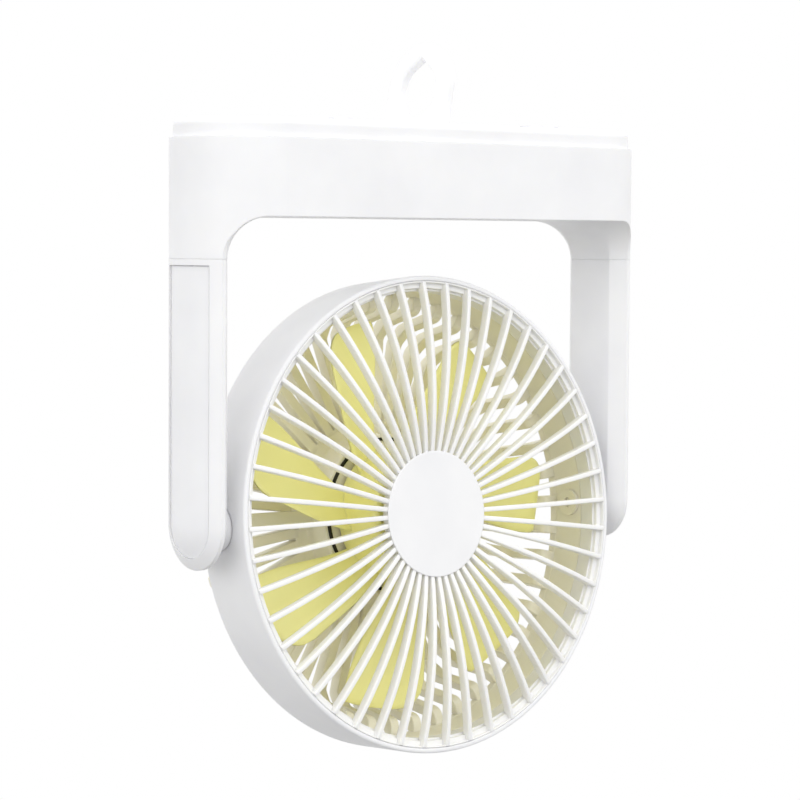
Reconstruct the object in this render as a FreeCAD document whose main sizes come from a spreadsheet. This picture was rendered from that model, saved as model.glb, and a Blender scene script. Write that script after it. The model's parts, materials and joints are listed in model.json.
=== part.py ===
"""A hanging camping fan: a battery base with a folding loop, two arms and a swinging fan head.

The fan is modelled as it hangs, in millimetres, with +Z up and the front of the head towards -Y.
Pieces of the base and arms are drawn in the base's own frame, whose z = 0 is the seam between
the base's body and its cap. Pieces of the head are drawn about the head's axis, with +Z forwards,
and are turned into place about the tilt axis. The origin of the finished fan is the top of the
loop's eye, where a hook carries it.
"""
import FreeCAD, Part
import math
import os
import Sketcher
from FreeCAD import Placement, Rotation, Vector

SIZES = {
    "arm_depth": 11.8,
    "base_depth": 54.0,
    "body_height": 28.2,
    "cap_height": 7.0,
    "cap_inset": 1.5,
    "cap_round": 2.4,
    "shell_wall": 2.2,
    "lip_depth": 2.0,
    "seam_gap": 0.15,
    "root_height": 15.3,
    "root_round": 15.3,
    "side_gap": 4.2,
    "arm_slope_depth": 4.7,
    "arm_face_half": 10.9,
    "arm_half": 16.4,
    "arm_end_rise": 1.6,
    "arm_round": 1.2,
    "arm_wall": 2.2,
    "arm_pocket_half": 9.6,
    "head_room": 22.3,
    "cover_half": 11.9,
    "cover_recess": 0.7,
    "cover_thick": 1.8,
    "cover_gap": 0.1,
    "cover_top_gap": 2.4,
    "peg_radius": 1.4,
    "peg_side": 6.6,
    "lead_radius": 0.9,
    "lead_depth": 7.7,
    "head_tilt": 4.5,
    "drum_radius": 90.0,
    "drum_taper": 0.8,
    "drum_wall": 3.8,
    "drum_front": 15.8,
    "drum_rear": 11.5,
    "drum_round": 1.3,
    "rim_width": 1.9,
    "rim_depth": 3.2,
    "skirt_thick": 1.8,
    "skirt_split": 6.2,
    "skirt_gap": 0.1,
    "rib_count": 48,
    "rib_phase": 0.53,
    "rib_width": 1.8,
    "rib_depth": 3.6,
    "rib_crest": 19.5,
    "rib_crest_place": 54.0,
    "ring_width": 1.0,
    "ring_rise": 1.4,
    "hub_radius": 23.4,
    "hub_cap_edge": 0.4,
    "hub_cap_thick": 1.4,
    "guard_thick": 3.5,
    "bar_count": 46,
    "bar_phase": 0.54,
    "bar_width": 4.0,
    "guard_open_bore": 36.0,
    "dish_depth": 21.2,
    "dish_shoulder": 3.4,
    "dish_wall": 10.0,
    "dish_turn": 4.9,
    "dish_rise": 5.0,
    "dish_thick": 3.2,
    "floor_thick": 5.5,
    "pod_radius": 31.0,
    "pod_wall": 2.5,
    "pod_front": 13.2,
    "pod_plate": 2.5,
    "pod_rear": 32.6,
    "gasket_thick": 0.7,
    "lead_end_place": 22.0,
    "channel_height": 4.4,
    "channel_wall": 0.9,
    "axle_radius": 4.0,
    "axle_bore": 2.0,
    "axle_fit": 0.05,
    "axle_flange": 5.2,
    "axle_reach": 5.7,
    "boss_radius": 8.3,
    "boss_gap": 0.3,
    "washer_thick": 0.5,
    "clip_thick": 0.7,
    "bearing_stub": 2.0,
    "blade_count": 7,
    "blade_gap": 9.9,
    "blade_thick": 1.6,
    "blade_corner": 10.5,
    "blade_phase": 0.0,
    "impeller_hub": 25.4,
    "impeller_front": 10.8,
    "impeller_rear": 11.5,
    "impeller_wall": 2.9,
    "shaft_radius": 1.5,
    "bearing_radius": 3.2,
    "post_radius": 5.0,
    "post_front": 6.3,
    "bearing_length": 3.0,
    "magnet_radius": 21.0,
    "cup_front": 8.4,
    "cup_rear": 7.0,
    "cup_thick": 1.4,
    "tooth_count": 9,
    "stator_radius": 18.4,
    "stator_half": 4.0,
    "loop_half": 17.3,
    "loop_straight": 16.5,
    "loop_thick": 4.4,
    "loop_round": 1.3,
    "eye_radius": 10.5,
    "eye_place": 15.6,
    "eye_point": 12.4,
    "loop_lean": 9.5,
    "hinge_place": 2.0,
    "hinge_height": 4.5,
    "hinge_barrel": 2.4,
    "pin_radius": 1.5,
    "pin_front": 22.5,
    "pin_rear": 24.9,
    "recess_gap": 0.45,
    "foot_place": 50.0,
    "foot_side": 17.0,
    "foot_length": 17.0,
    "foot_width": 8.0,
    "foot_thick": 1.4,
    "foot_sunk": 0.6,
    "screw_radius": 1.1,
    "screw_head": 2.6,
    "post_round": 3.2,
    "cell_radius": 9.2,
    "cell_length": 65.0,
    "cell_gap": 0.6,
    "board_place": 17.4,
    "board_thick": 1.6,
    "board_half": 36.0,
    "board_height": 21.0,
    "button_radius": 4.4,
    "button_gap": 0.2,
    "button_proud": 1.0,
    "button_travel": 0.5,
    "button_level": 13.0,
    "fan_button_place": 18.0,
    "usb_place": 20.0,
    "usb_width": 9.2,
    "usb_height": 3.4,
    "lens_place": 29.0,
    "lens_radius": 1.5,
}

doc = FreeCAD.newDocument("camping_fan")
sheet = doc.addObject("Spreadsheet::Sheet", "Sizes")


class Size:
    """A length or angle that carries its number and the spreadsheet expression that makes it."""

    def __init__(self, number, text):
        self.number = float(number)
        self.text = text

    def __float__(self):
        return self.number

    def __add__(self, other):
        return combine(self, "+", other, self.number + float(other))

    def __radd__(self, other):
        return combine(other, "+", self, float(other) + self.number)

    def __sub__(self, other):
        return combine(self, "-", other, self.number - float(other))

    def __rsub__(self, other):
        return combine(other, "-", self, float(other) - self.number)

    def __mul__(self, other):
        return combine(self, "*", other, self.number * float(other))

    def __rmul__(self, other):
        return combine(other, "*", self, float(other) * self.number)

    def __truediv__(self, other):
        return combine(self, "/", other, self.number / float(other))

    def __neg__(self):
        return combine(0.0, "-", self, -self.number)


def text_of(value):
    return value.text if isinstance(value, Size) else repr(float(value))


def combine(left, sign, right, number):
    return Size(number, "(" + text_of(left) + " " + sign + " " + text_of(right) + ")")


def root_of(value):
    return Size(math.sqrt(float(value)), "sqrt(" + text_of(value) + ")")


def sine(angle):
    return Size(math.sin(math.radians(float(angle))), "sin(" + text_of(angle) + ")")


def cosine(angle):
    return Size(math.cos(math.radians(float(angle))), "cos(" + text_of(angle) + ")")


class Named:
    """The sheet's aliases as attributes."""


S = Named()
for row, (alias, number) in enumerate(SIZES.items(), start=1):
    sheet.set("A" + str(row), alias)
    sheet.set("B" + str(row), str(number))
    sheet.setAlias("B" + str(row), alias)
    setattr(S, alias, Size(number, "Sizes." + alias))
doc.recompute()

# Sizes that follow from the sizes they have to fit
S.arm_face = S.drum_radius + S.side_gap
S.arm_crease = S.arm_face + S.arm_slope_depth
S.base_length = 2.0 * (S.arm_face + S.arm_depth)
S.pivot_drop = S.body_height + S.drum_radius + S.head_room
S.lead_place = S.arm_face + S.lead_depth
S.axle_end = S.arm_face + S.axle_reach
S.drum_rear_radius = S.drum_radius - S.drum_taper
S.drum_bore = S.drum_radius - S.drum_wall
S.rim_seat = S.drum_radius - S.rim_width
S.skirt_bore = S.drum_bore - S.skirt_thick
S.ring_bore = S.drum_bore - S.ring_width
S.hub_cap_radius = S.hub_radius + S.hub_cap_edge
S.blade_tip = S.skirt_bore - S.blade_gap

# Places that follow from the sizes
END = S.base_depth / 2
CENTRE = S.base_length / 2 - END
CAVITY_FLOOR = -S.body_height + S.shell_wall
ARM_TOP = -(S.body_height + S.root_height)
PIVOT = -S.pivot_drop
ARM_END = PIVOT + S.arm_end_rise
EYE_REACH = S.eye_place + S.eye_point
ORIGIN_X = S.hinge_place + EYE_REACH * sine(S.loop_lean)
ORIGIN_Z = S.hinge_height + EYE_REACH * cosine(S.loop_lean)
COVER_OUT = END - S.cover_recess
COVER_IN = COVER_OUT - S.cover_thick
GUARD_FACE = -(S.drum_rear - S.guard_thick)
FLOOR = GUARD_FACE - S.dish_depth
POD_PLATE = -S.pod_front

ALONG = {
    "X": Rotation(Vector(0, 1, 0), 90),
    "Y": Rotation(Vector(1, 0, 0), -90),
    "Z": Rotation(),
}
nodes = []


def bind(thing, name, value):
    thing.setExpression(name, text_of(value))


def move(thing, place):
    for letter, value in zip("xyz", place):
        bind(thing, "Placement.Base." + letter, value)


def block(name, low, high):
    """A box between two corners."""
    thing = doc.addObject("Part::Box", name)
    for letter, a, b in zip(("Length", "Width", "Height"), low, high):
        bind(thing, letter, b - a)
    move(thing, low)
    return thing


def rod(name, start, radius, length, along="Z"):
    """A cylinder that starts at a point and runs along an axis."""
    thing = doc.addObject("Part::Cylinder", name)
    thing.Placement = Placement(Vector(), ALONG[along])
    bind(thing, "Radius", radius)
    bind(thing, "Height", length)
    move(thing, start)
    return thing


def cone(name, start, radius, far_radius, length, along="Z"):
    thing = doc.addObject("Part::Cone", name)
    thing.Placement = Placement(Vector(), ALONG[along])
    bind(thing, "Radius1", radius)
    bind(thing, "Radius2", far_radius)
    bind(thing, "Height", length)
    move(thing, start)
    return thing


def join(name, *things):
    """One solid from several that overlap, or the single thing given."""
    if len(things) == 1:
        return things[0]
    thing = doc.addObject("Part::MultiFuse", name)
    thing.Shapes = list(things)
    thing.Refine = True
    return thing


def cut(name, base, *tools):
    thing = doc.addObject("Part::Cut", name)
    thing.Base = base
    thing.Tool = join(name + "_tools", *tools)
    thing.Refine = True
    return thing


def overlap(name, *things):
    thing = doc.addObject("Part::MultiCommon", name)
    thing.Shapes = list(things)
    thing.Refine = True
    return thing


def group(name, *things):
    """Several separate solids under one name."""
    thing = doc.addObject("Part::Compound", name)
    thing.Links = list(things)
    return thing


def tube(name, start, radius, bore, length, along="Z"):
    outer = rod(name + "_outer", start, radius, length, along)
    inner = rod(name + "_bore", start, bore, length, along)
    return cut(name, outer, inner)


def mirrored(name, source):
    thing = doc.addObject("Part::Mirroring", name)
    thing.Source = source
    thing.Normal = Vector(1, 0, 0)
    return thing


def stadium(name, half, end, low, high):
    """An upright prism with half-round ends, long in X, centred on the origin."""
    straight = half - end
    height = high - low
    return join(name, block(name + "_middle", (-straight, -end, low), (straight, end, high)),
                rod(name + "_left", (-straight, 0.0, low), end, height),
                rod(name + "_right", (straight, 0.0, low), end, height))


def feature(name, shape):
    thing = doc.addObject("Part::Feature", name)
    thing.Shape = shape
    return thing


def outline_sketch(body, name, start, steps, plane):
    """A closed outline whose points are held to the sheet. A step is (x, y) for a line, or
    (x, y, via_x, via_y) for an arc through a middle point."""
    sketch = body.newObject("Sketcher::SketchObject", name)
    support = [f for f in body.Origin.OriginFeatures if f.Role == plane][0]
    sketch.AttachmentSupport = [(support, "")]
    sketch.MapMode = "FlatFace"
    points = [start] + [step[:2] for step in steps]
    ends = points[1:] + [start]
    bends = [step[2:] for step in steps] + [()]
    flat = [(Vector(float(a), float(b), 0), Vector(float(c), float(d), 0))
            for (a, b), (c, d) in zip(points, ends)]
    for (first, last), bend in zip(flat, bends):
        if bend:
            middle = Vector(float(bend[0]), float(bend[1]), 0)
            sketch.addGeometry(Part.ArcOfCircle(first, middle, last), False)
        else:
            sketch.addGeometry(Part.LineSegment(first, last), False)
    count = len(flat)

    def point_of(number, vertex):
        """The sketch's own index of the end of an edge that lies at a vertex."""
        for index in (1, 2):
            if (sketch.getPoint(number, index) - vertex).Length < 1e-6:
                return index
        raise ValueError("an edge of " + name + " has no end at its vertex")

    for number in range(count):
        here = flat[number][1]
        after = (number + 1) % count
        sketch.addConstraint(Sketcher.Constraint("Coincident", number, point_of(number, here),
                                                 after, point_of(after, here)))
    for number, point in enumerate(points):
        index = point_of(number, flat[number][0])
        hold_point(sketch, number, index, point)
    for number, bend in enumerate(bends):
        if bend:
            mark = sketch.addGeometry(Part.Point(Vector(float(bend[0]), float(bend[1]), 0)), True)
            hold_point(sketch, mark, 1, bend)
            sketch.addConstraint(Sketcher.Constraint("PointOnObject", mark, 1, number))
    return sketch


def hold_point(sketch, geometry, index, point):
    """Holds a point's two coordinates to expressions, or to the origin's axes where they are 0."""
    for kind, value, axis in (("DistanceX", point[0], -2), ("DistanceY", point[1], -1)):
        if float(value) == 0.0:
            sketch.addConstraint(Sketcher.Constraint("PointOnObject", geometry, index, axis))
            continue
        number = sketch.addConstraint(
            Sketcher.Constraint(kind, -1, 1, geometry, index, float(value)))
        if isinstance(value, Size):
            sketch.setExpression("Constraints[" + str(number) + "]", value.text)


def turned(name, start, steps):
    """A body turned about its own Z axis from an outline of (radius, height) points."""
    body = doc.addObject("PartDesign::Body", name)
    sketch = outline_sketch(body, name + "_outline", start, steps, "XZ_Plane")
    turn = body.newObject("PartDesign::Revolution", name + "_turn")
    turn.Profile = sketch
    turn.ReferenceAxis = (sketch, ["V_Axis"])
    turn.Angle = 360
    body.Tip = turn
    return body


def finish(thing, label, place=None, turn=None):
    """Names a piece as a node and puts it in the fan's frame."""
    x, y, z = place or (0.0, 0.0, 0.0)
    thing.Label = label
    thing.Placement = Placement(Vector(), turn or Rotation())
    move(thing, (x - ORIGIN_X, y, z - ORIGIN_Z))
    nodes.append(thing)
    return thing


def both_sides(thing, label, finisher):
    """Finishes a piece drawn on the right, and its mirror image on the left."""
    image = mirrored("left_" + label + "_image", thing)
    finisher(group("right_" + label + "_side", thing), "right_" + label)
    finisher(group("left_" + label + "_side", image), "left_" + label)


def finish_head(thing, label):
    """Puts a piece drawn about the head's axis in the fan's frame, tilted with the head."""
    turn = Rotation(Vector(1, 0, 0), 90 - float(S.head_tilt))
    return finish(thing, label, (0.0, 0.0, PIVOT), turn)


# Arms: a flat inner face, sloping sides and a half-round end about the tilt axis
def arm_prism(name, half, low, high, top):
    """The arm's outline, with a round lower end, raised from one x to another."""
    return join(name, block(name + "_straight", (low, -half, ARM_END), (high, half, top)),
                rod(name + "_end", (low, 0.0, ARM_END), half, high - low, "X"))


def round_wall(name, radius):
    """The base's half-round end carried down the arm and closed below by a ball."""
    ball = doc.addObject("Part::Sphere", name + "_ball")
    bind(ball, "Radius", radius)
    move(ball, (CENTRE, 0.0, ARM_END))
    return join(name, ball, rod(name + "_column", (CENTRE, 0.0, ARM_END), radius, ARM_TOP - ARM_END))


def arm_solid():
    wedge = doc.addObject("Part::Wedge", "arm_slope")
    wedge.Placement = Placement(Vector(), Rotation(Vector(0, 0, 1), -90))
    for name, value in (("Xmin", -S.arm_face_half), ("Xmax", S.arm_face_half),
                        ("X2min", -S.arm_half), ("X2max", S.arm_half),
                        ("Ymin", S.arm_face), ("Ymax", S.arm_crease),
                        ("Zmin", ARM_END), ("Z2min", ARM_END), ("Zmax", ARM_TOP), ("Z2max", ARM_TOP)):
        bind(wedge, name, value)
    slope_end = cone("arm_slope_end", (S.arm_face, 0.0, ARM_END), S.arm_face_half, S.arm_half,
                     S.arm_crease - S.arm_face, "X")
    outer = arm_prism("arm_outer", S.arm_half, S.arm_crease, CENTRE + END + 2.0, ARM_TOP)
    blank = join("arm_blank", wedge, slope_end, outer)
    return overlap("arm_form", blank, round_wall("arm_round_wall", END))


def rounded_arm(solid):
    """Rounds the edges of the arm's inner face."""
    doc.recompute()
    face = float(S.arm_face)
    edges = [number for number, edge in enumerate(solid.Shape.Edges, start=1)
             if abs(edge.BoundBox.XMin - face) < 1e-4 and abs(edge.BoundBox.XMax - face) < 1e-4
             and edge.BoundBox.ZMin < float(ARM_TOP) - 1.0]
    thing = doc.addObject("Part::Fillet", "arm_rounded")
    thing.Base = solid
    radius = float(S.arm_round)
    thing.Edges = [(number, radius, radius) for number in edges]
    return thing


def axle_hole(name):
    return rod(name, (S.arm_face - 1.0, 0.0, PIVOT), S.axle_radius + S.axle_fit, 8.0, "X")


def arm_hollow():
    """What is taken out of the arm: the cover's seat, the pocket and the ways for lead and screws."""
    seat_prism = arm_prism("seat_prism", S.cover_half + S.cover_gap, S.arm_face + S.arm_wall,
                           CENTRE + END + 3.0, ARM_TOP - S.cover_top_gap + S.cover_gap)
    seat = cut("cover_seat", seat_prism, round_wall("seat_core", COVER_IN - 0.03))
    pocket = arm_prism("arm_pocket", S.arm_pocket_half, S.arm_face + S.arm_wall,
                       CENTRE + END + 1.0, ARM_TOP - S.cover_top_gap)
    way = block("lead_way", (S.arm_face + S.arm_wall + 1.4, -3.0, ARM_TOP - 6.0),
                (S.lead_place + 1.8, 3.0, ARM_TOP))
    holes = screw_holes("arm_screw_hole", S.screw_radius + 0.2, ARM_TOP - 6.0, 6.0)
    return [seat, pocket, way, axle_hole("axle_hole")] + holes


def screw_holes(name, radius, low, length):
    """The two upright screws at an arm's root, one each side of the lead."""
    return [rod(name + "_" + str(number), (S.arm_crease, side * S.peg_side, low), radius, length)
            for number, side in enumerate((-1.0, 1.0), start=1)]


arm_boss = tube("axle_boss", (S.arm_face + S.arm_wall - 0.2, 0.0, PIVOT), S.axle_radius + 3.0,
                S.axle_radius + S.axle_fit, S.bearing_stub + 0.2, "X")
arm_shell = cut("arm_shell", rounded_arm(arm_solid()), *arm_hollow())
both_sides(join("arm_piece", arm_shell, arm_boss), "arm", finish)


# Arm covers: curved panels sunk a little into the outside of each arm, on two pegs
def arm_cover():
    panel = arm_prism("panel_prism", S.cover_half, S.arm_crease - 3.0, CENTRE + END + 2.0,
                      ARM_TOP - S.cover_top_gap)
    shell = cut("panel_shell", round_wall("panel_outside", COVER_OUT),
                round_wall("panel_inside", COVER_IN))
    pegs = []
    for number, level in enumerate((ARM_TOP - 20.0, PIVOT + 24.0), start=1):
        start = S.arm_face + S.arm_wall + 0.2
        pegs.append(rod("panel_peg_" + str(number), (start, S.peg_side, level), S.peg_radius,
                        CENTRE + COVER_IN + 0.3 - start, "X"))
    return join("arm_cover", overlap("panel_form", panel, shell), *pegs)


both_sides(arm_cover(), "arm_cover", finish)


# Arm roots: the arm's section spreads in a quarter round until it meets the base's underside
def root_section(spread, level):
    """The arm's section grown sideways by a spread, as a closed wire with rounded inner corners."""
    face, crease = float(S.arm_face), float(S.arm_crease)
    slope = math.atan2(float(S.arm_half - S.arm_face_half), crease - face)
    corner = float(S.arm_round) + spread
    far = float(CENTRE + END) + 3.0
    normal = Vector(-math.sin(slope), math.cos(slope), 0)
    setback = float(S.arm_round) * math.tan((math.pi / 2 - slope) / 2)
    centre = Vector(face + float(S.arm_round), float(S.arm_face_half) - setback, 0)
    first = centre + Vector(-corner, 0, 0)
    last = centre + normal * corner
    half_way = centre + (Vector(-1, 0, 0) + normal).normalize() * corner
    side_y = float(S.arm_half) + spread
    bend = Vector(last.x + (side_y - last.y) / math.tan(slope), side_y, 0)
    outer = Vector(far, side_y, 0)

    def lift(point, side=1.0):
        return Vector(point.x, side * point.y, level)

    edges = [Part.Arc(lift(first), lift(half_way), lift(last)).toShape(),
             Part.makeLine(lift(last), lift(bend)),
             Part.makeLine(lift(bend), lift(outer)),
             Part.makeLine(lift(outer), lift(outer, -1.0)),
             Part.makeLine(lift(outer, -1.0), lift(bend, -1.0)),
             Part.makeLine(lift(bend, -1.0), lift(last, -1.0)),
             Part.Arc(lift(last, -1.0), lift(half_way, -1.0), lift(first, -1.0)).toShape(),
             Part.makeLine(lift(first, -1.0), lift(first))]
    return Part.Wire(edges)


def arm_root():
    """The spreading root, trimmed by the base's outer wall."""
    steps = 8
    sections = []
    for step in range(steps + 1):
        turn = math.radians(90.0 * step / steps)
        spread = float(S.root_round) * (1.0 - math.cos(turn))
        level = float(ARM_TOP) + float(S.root_height) * math.sin(turn)
        sections.append(root_section(spread, level))
    loft = feature("root_loft", Part.makeLoft(sections, True, False))
    wall = stadium("root_wall", S.base_length / 2, END, ARM_TOP - 1.0, -S.body_height + 0.5)
    return overlap("root_form", loft, wall)


root = arm_root()
root_ways = [block("root_lead_way", (S.arm_face + S.arm_wall + 1.4, -3.0, ARM_TOP - 1.0),
                   (S.lead_place + 1.8, 3.0, CAVITY_FLOOR + 0.5))]
root_ways += screw_holes("root_screw_hole", S.screw_radius, ARM_TOP - 1.0, 9.0)


# Base body: an open tray with half-round ends that carries the arms, cells and board
def rear_hole(name, place, radius):
    return rod(name, (place, END - S.shell_wall - 1.0, -S.button_level), radius,
               S.shell_wall + 2.0, "Y")


def at_corners(maker):
    """Calls a maker for the four corners where the feet and cap screws are."""
    made = []
    for number, (across, along) in enumerate(((-1, -1), (-1, 1), (1, -1), (1, 1)), start=1):
        made.append(maker(str(number), across * S.foot_place, along * S.foot_side))
    return made


def body_post(number, x, y):
    return rod("body_post_" + number, (x, y, CAVITY_FLOOR - 0.2), S.post_round,
               -CAVITY_FLOOR - 0.1)


def body_post_hole(number, x, y):
    return rod("body_post_hole_" + number, (x, y, -12.0), S.screw_radius, 13.0)


def board_post(number, x):
    start = S.board_place + S.board_thick
    return rod("board_post_" + number, (x, start, -S.button_level), 2.4,
               END - S.shell_wall + 0.2 - start, "Y")


def board_post_hole(number, x):
    start = S.board_place - 0.5
    return rod("board_post_hole_" + number, (x, start, -S.button_level), 0.9,
               S.board_thick + 4.0, "Y")


BOARD_POSTS = (("1", 3.0 - S.board_half), ("2", S.board_half - 3.0))
outer = stadium("body_outer", S.base_length / 2, END, -S.body_height, Size(0.0, "0"))
cavity = stadium("body_cavity", S.base_length / 2 - S.shell_wall, END - S.shell_wall,
                 CAVITY_FLOOR, Size(1.0, "1"))
usb_hole = block("usb_hole", (-S.usb_place - S.usb_width / 2 - 0.2, END - S.shell_wall - 1.0,
                              -S.button_level - S.usb_height / 2 - 0.2),
                 (-S.usb_place + S.usb_width / 2 + 0.2, END + 1.0,
                  -S.button_level + S.usb_height / 2 + 0.2))
tray = cut("body_tray", join("body_blank", outer, root, mirrored("left_root", root)), cavity)
posts = at_corners(body_post) + [board_post(*spot) for spot in BOARD_POSTS]
mirror_ways = mirrored("left_root_ways", join("root_ways", *root_ways))
base_body = cut("body_piece", join("body_posted", tray, *posts),
                join("right_root_ways", *root_ways), mirror_ways, usb_hole,
                rear_hole("fan_button_hole", S.fan_button_place, S.button_radius + S.button_gap),
                rear_hole("lens_hole", S.lens_place, S.lens_radius + 0.1),
                *at_corners(body_post_hole), *[board_post_hole(*spot) for spot in BOARD_POSTS])
finish(base_body, "base_body")


# Base cap: a shallow lid with rounded top edges, a well for the folded loop and seats for the feet
WELL_LOW = S.hinge_height - S.hinge_barrel - 0.3
WELL_SIDE = S.loop_half + S.recess_gap
WELL_BACK = S.hinge_place - S.hinge_barrel - S.recess_gap
WELL_FRONT = S.hinge_place + S.loop_straight + S.loop_half + 1.0


def cap_outline():
    """The cap's plan as a body: two long sides and two half-round ends."""
    half = S.base_length / 2 - S.cap_inset
    end = END - S.cap_inset
    straight = half - end
    body = doc.addObject("PartDesign::Body", "cap_form")
    sketch = body.newObject("Sketcher::SketchObject", "cap_plan")
    support = [f for f in body.Origin.OriginFeatures if f.Role == "XY_Plane"][0]
    sketch.AttachmentSupport = [(support, "")]
    sketch.MapMode = "FlatFace"
    a, b = float(straight), float(end)
    up = Vector(0, 0, 1)
    sketch.addGeometry(Part.LineSegment(Vector(-a, -b, 0), Vector(a, -b, 0)), False)
    sketch.addGeometry(Part.ArcOfCircle(Part.Circle(Vector(a, 0, 0), up, b),
                                        -math.pi / 2, math.pi / 2), False)
    sketch.addGeometry(Part.LineSegment(Vector(a, b, 0), Vector(-a, b, 0)), False)
    sketch.addGeometry(Part.ArcOfCircle(Part.Circle(Vector(-a, 0, 0), up, b),
                                        math.pi / 2, 3 * math.pi / 2), False)
    for number in range(4):
        sketch.addConstraint(Sketcher.Constraint("Tangent", number, 2, (number + 1) % 4, 1))
    for number, side in ((1, straight), (3, -straight)):
        hold_point(sketch, number, 3, (side, 0.0))
    radius = sketch.addConstraint(Sketcher.Constraint("Radius", 1, b))
    sketch.setExpression("Constraints[" + str(radius) + "]", end.text)
    pad = body.newObject("PartDesign::Pad", "cap_pad")
    pad.Profile = sketch
    bind(pad, "Length", S.cap_height)
    doc.recompute()
    top = float(S.cap_height)
    edges = ["Edge" + str(number) for number, edge in enumerate(pad.Shape.Edges, start=1)
             if abs(edge.BoundBox.ZMin - top) < 1e-6]
    rounding = body.newObject("PartDesign::Fillet", "cap_rounding")
    rounding.Base = (pad, edges)
    bind(rounding, "Radius", S.cap_round)
    body.Tip = rounding
    return body


def cap_post(number, x, y):
    return rod("cap_post_" + number, (x, y, 0.0), S.post_round + 0.8,
               S.cap_height - S.shell_wall + 0.2)


def cap_hole(number, x, y):
    through = rod("cap_hole_" + number, (x, y, -1.0), S.screw_radius + 0.3, S.cap_height + 2.0)
    sink = rod("cap_sink_" + number, (x, y, S.cap_height - 3.6), S.screw_head + 0.3, 4.0)
    return join("cap_bore_" + number, through, sink)


def foot_prism(number, x, y, grow, low, high):
    """A foot's plan, a short bar with round ends, grown by a clearance."""
    end = S.foot_width / 2 + grow
    straight = (S.foot_length - S.foot_width) / 2
    height = high - low
    name = "foot_" + number
    return join(name, block(name + "_middle", (x - straight, y - end, low),
                            (x + straight, y + end, high)),
                rod(name + "_left", (x - straight, y, low), end, height),
                rod(name + "_right", (x + straight, y, low), end, height))


def foot_seat(number, x, y):
    return foot_prism("seat_" + number, x, y, 0.1, S.cap_height - S.foot_sunk,
                      S.cap_height + 1.0)


cap_inside = stadium("cap_inside", S.base_length / 2 - S.cap_inset - S.shell_wall,
                     END - S.cap_inset - S.shell_wall, Size(-1.0, "-1"), S.cap_height - S.shell_wall)
lip_half = S.base_length / 2 - S.shell_wall - S.seam_gap
lip_end = END - S.shell_wall - S.seam_gap
lip = cut("cap_lip", stadium("lip_outer", lip_half, lip_end, -S.lip_depth, Size(1.5, "1.5")),
          stadium("lip_inner", lip_half - 1.6, lip_end - 1.6, -S.lip_depth - 1.0, Size(3.0, "3")))
well_block = block("well_block", (WELL_BACK - 2.0, -S.pin_front - 0.8, WELL_LOW - 1.6),
                   (WELL_FRONT + 2.0, S.pin_front + 0.8, S.cap_height - S.shell_wall + 0.2))
well = block("well", (WELL_BACK, -WELL_SIDE, WELL_LOW), (WELL_FRONT, WELL_SIDE, S.cap_height + 1.0))
pin_hole = rod("pin_hole", (S.hinge_place, -S.pin_front, S.hinge_height), S.pin_radius,
               S.pin_front + END, "Y")
cap_shell = cut("cap_shell", cap_outline(), cap_inside)
base_cap = cut("cap_piece", join("cap_solid", cap_shell, lip, well_block, *at_corners(cap_post)),
               well, pin_hole, *at_corners(cap_hole), *at_corners(foot_seat))
finish(base_cap, "base_cap")


# Feet and cap screws
def foot(number, x, y):
    low = S.cap_height - S.foot_sunk
    return foot_prism("pad_" + number, x, y, 0.0, low, low + S.foot_thick)


def cap_screw(number, x, y):
    head_low = S.cap_height - 3.6
    shank = rod("cap_shank_" + number, (x, y, -10.0), S.screw_radius, head_low + 10.1)
    head = rod("cap_head_" + number, (x, y, head_low), S.screw_head, 1.8)
    slot = block("cap_slot_" + number, (x - 1.6, y - 0.3, head_low + 1.0),
                 (x + 1.6, y + 0.3, head_low + 2.0))
    return cut("cap_screw_" + number, join("cap_screw_blank_" + number, shank, head), slot)


finish(group("feet_group", *at_corners(foot)), "feet")
finish(group("cap_screw_group", *at_corners(cap_screw)), "cap_screws")


def arm_screw(number, side):
    head_low = ARM_TOP - S.cover_top_gap - 1.6
    shank = rod("arm_shank_" + number, (S.arm_crease, side * S.peg_side, head_low), S.screw_radius,
                S.cover_top_gap + 1.6 + 7.0)
    head = rod("arm_head_" + number, (S.arm_crease, side * S.peg_side, head_low), 2.1, 1.6)
    return join("arm_screw_" + number, shank, head)


right_screws = [arm_screw("front", -1.0), arm_screw("rear", 1.0)]
left_screws = [mirrored("left_" + screw.Name, screw) for screw in right_screws]
finish(group("arm_screw_group", *right_screws, *left_screws), "arm_screws")


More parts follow.
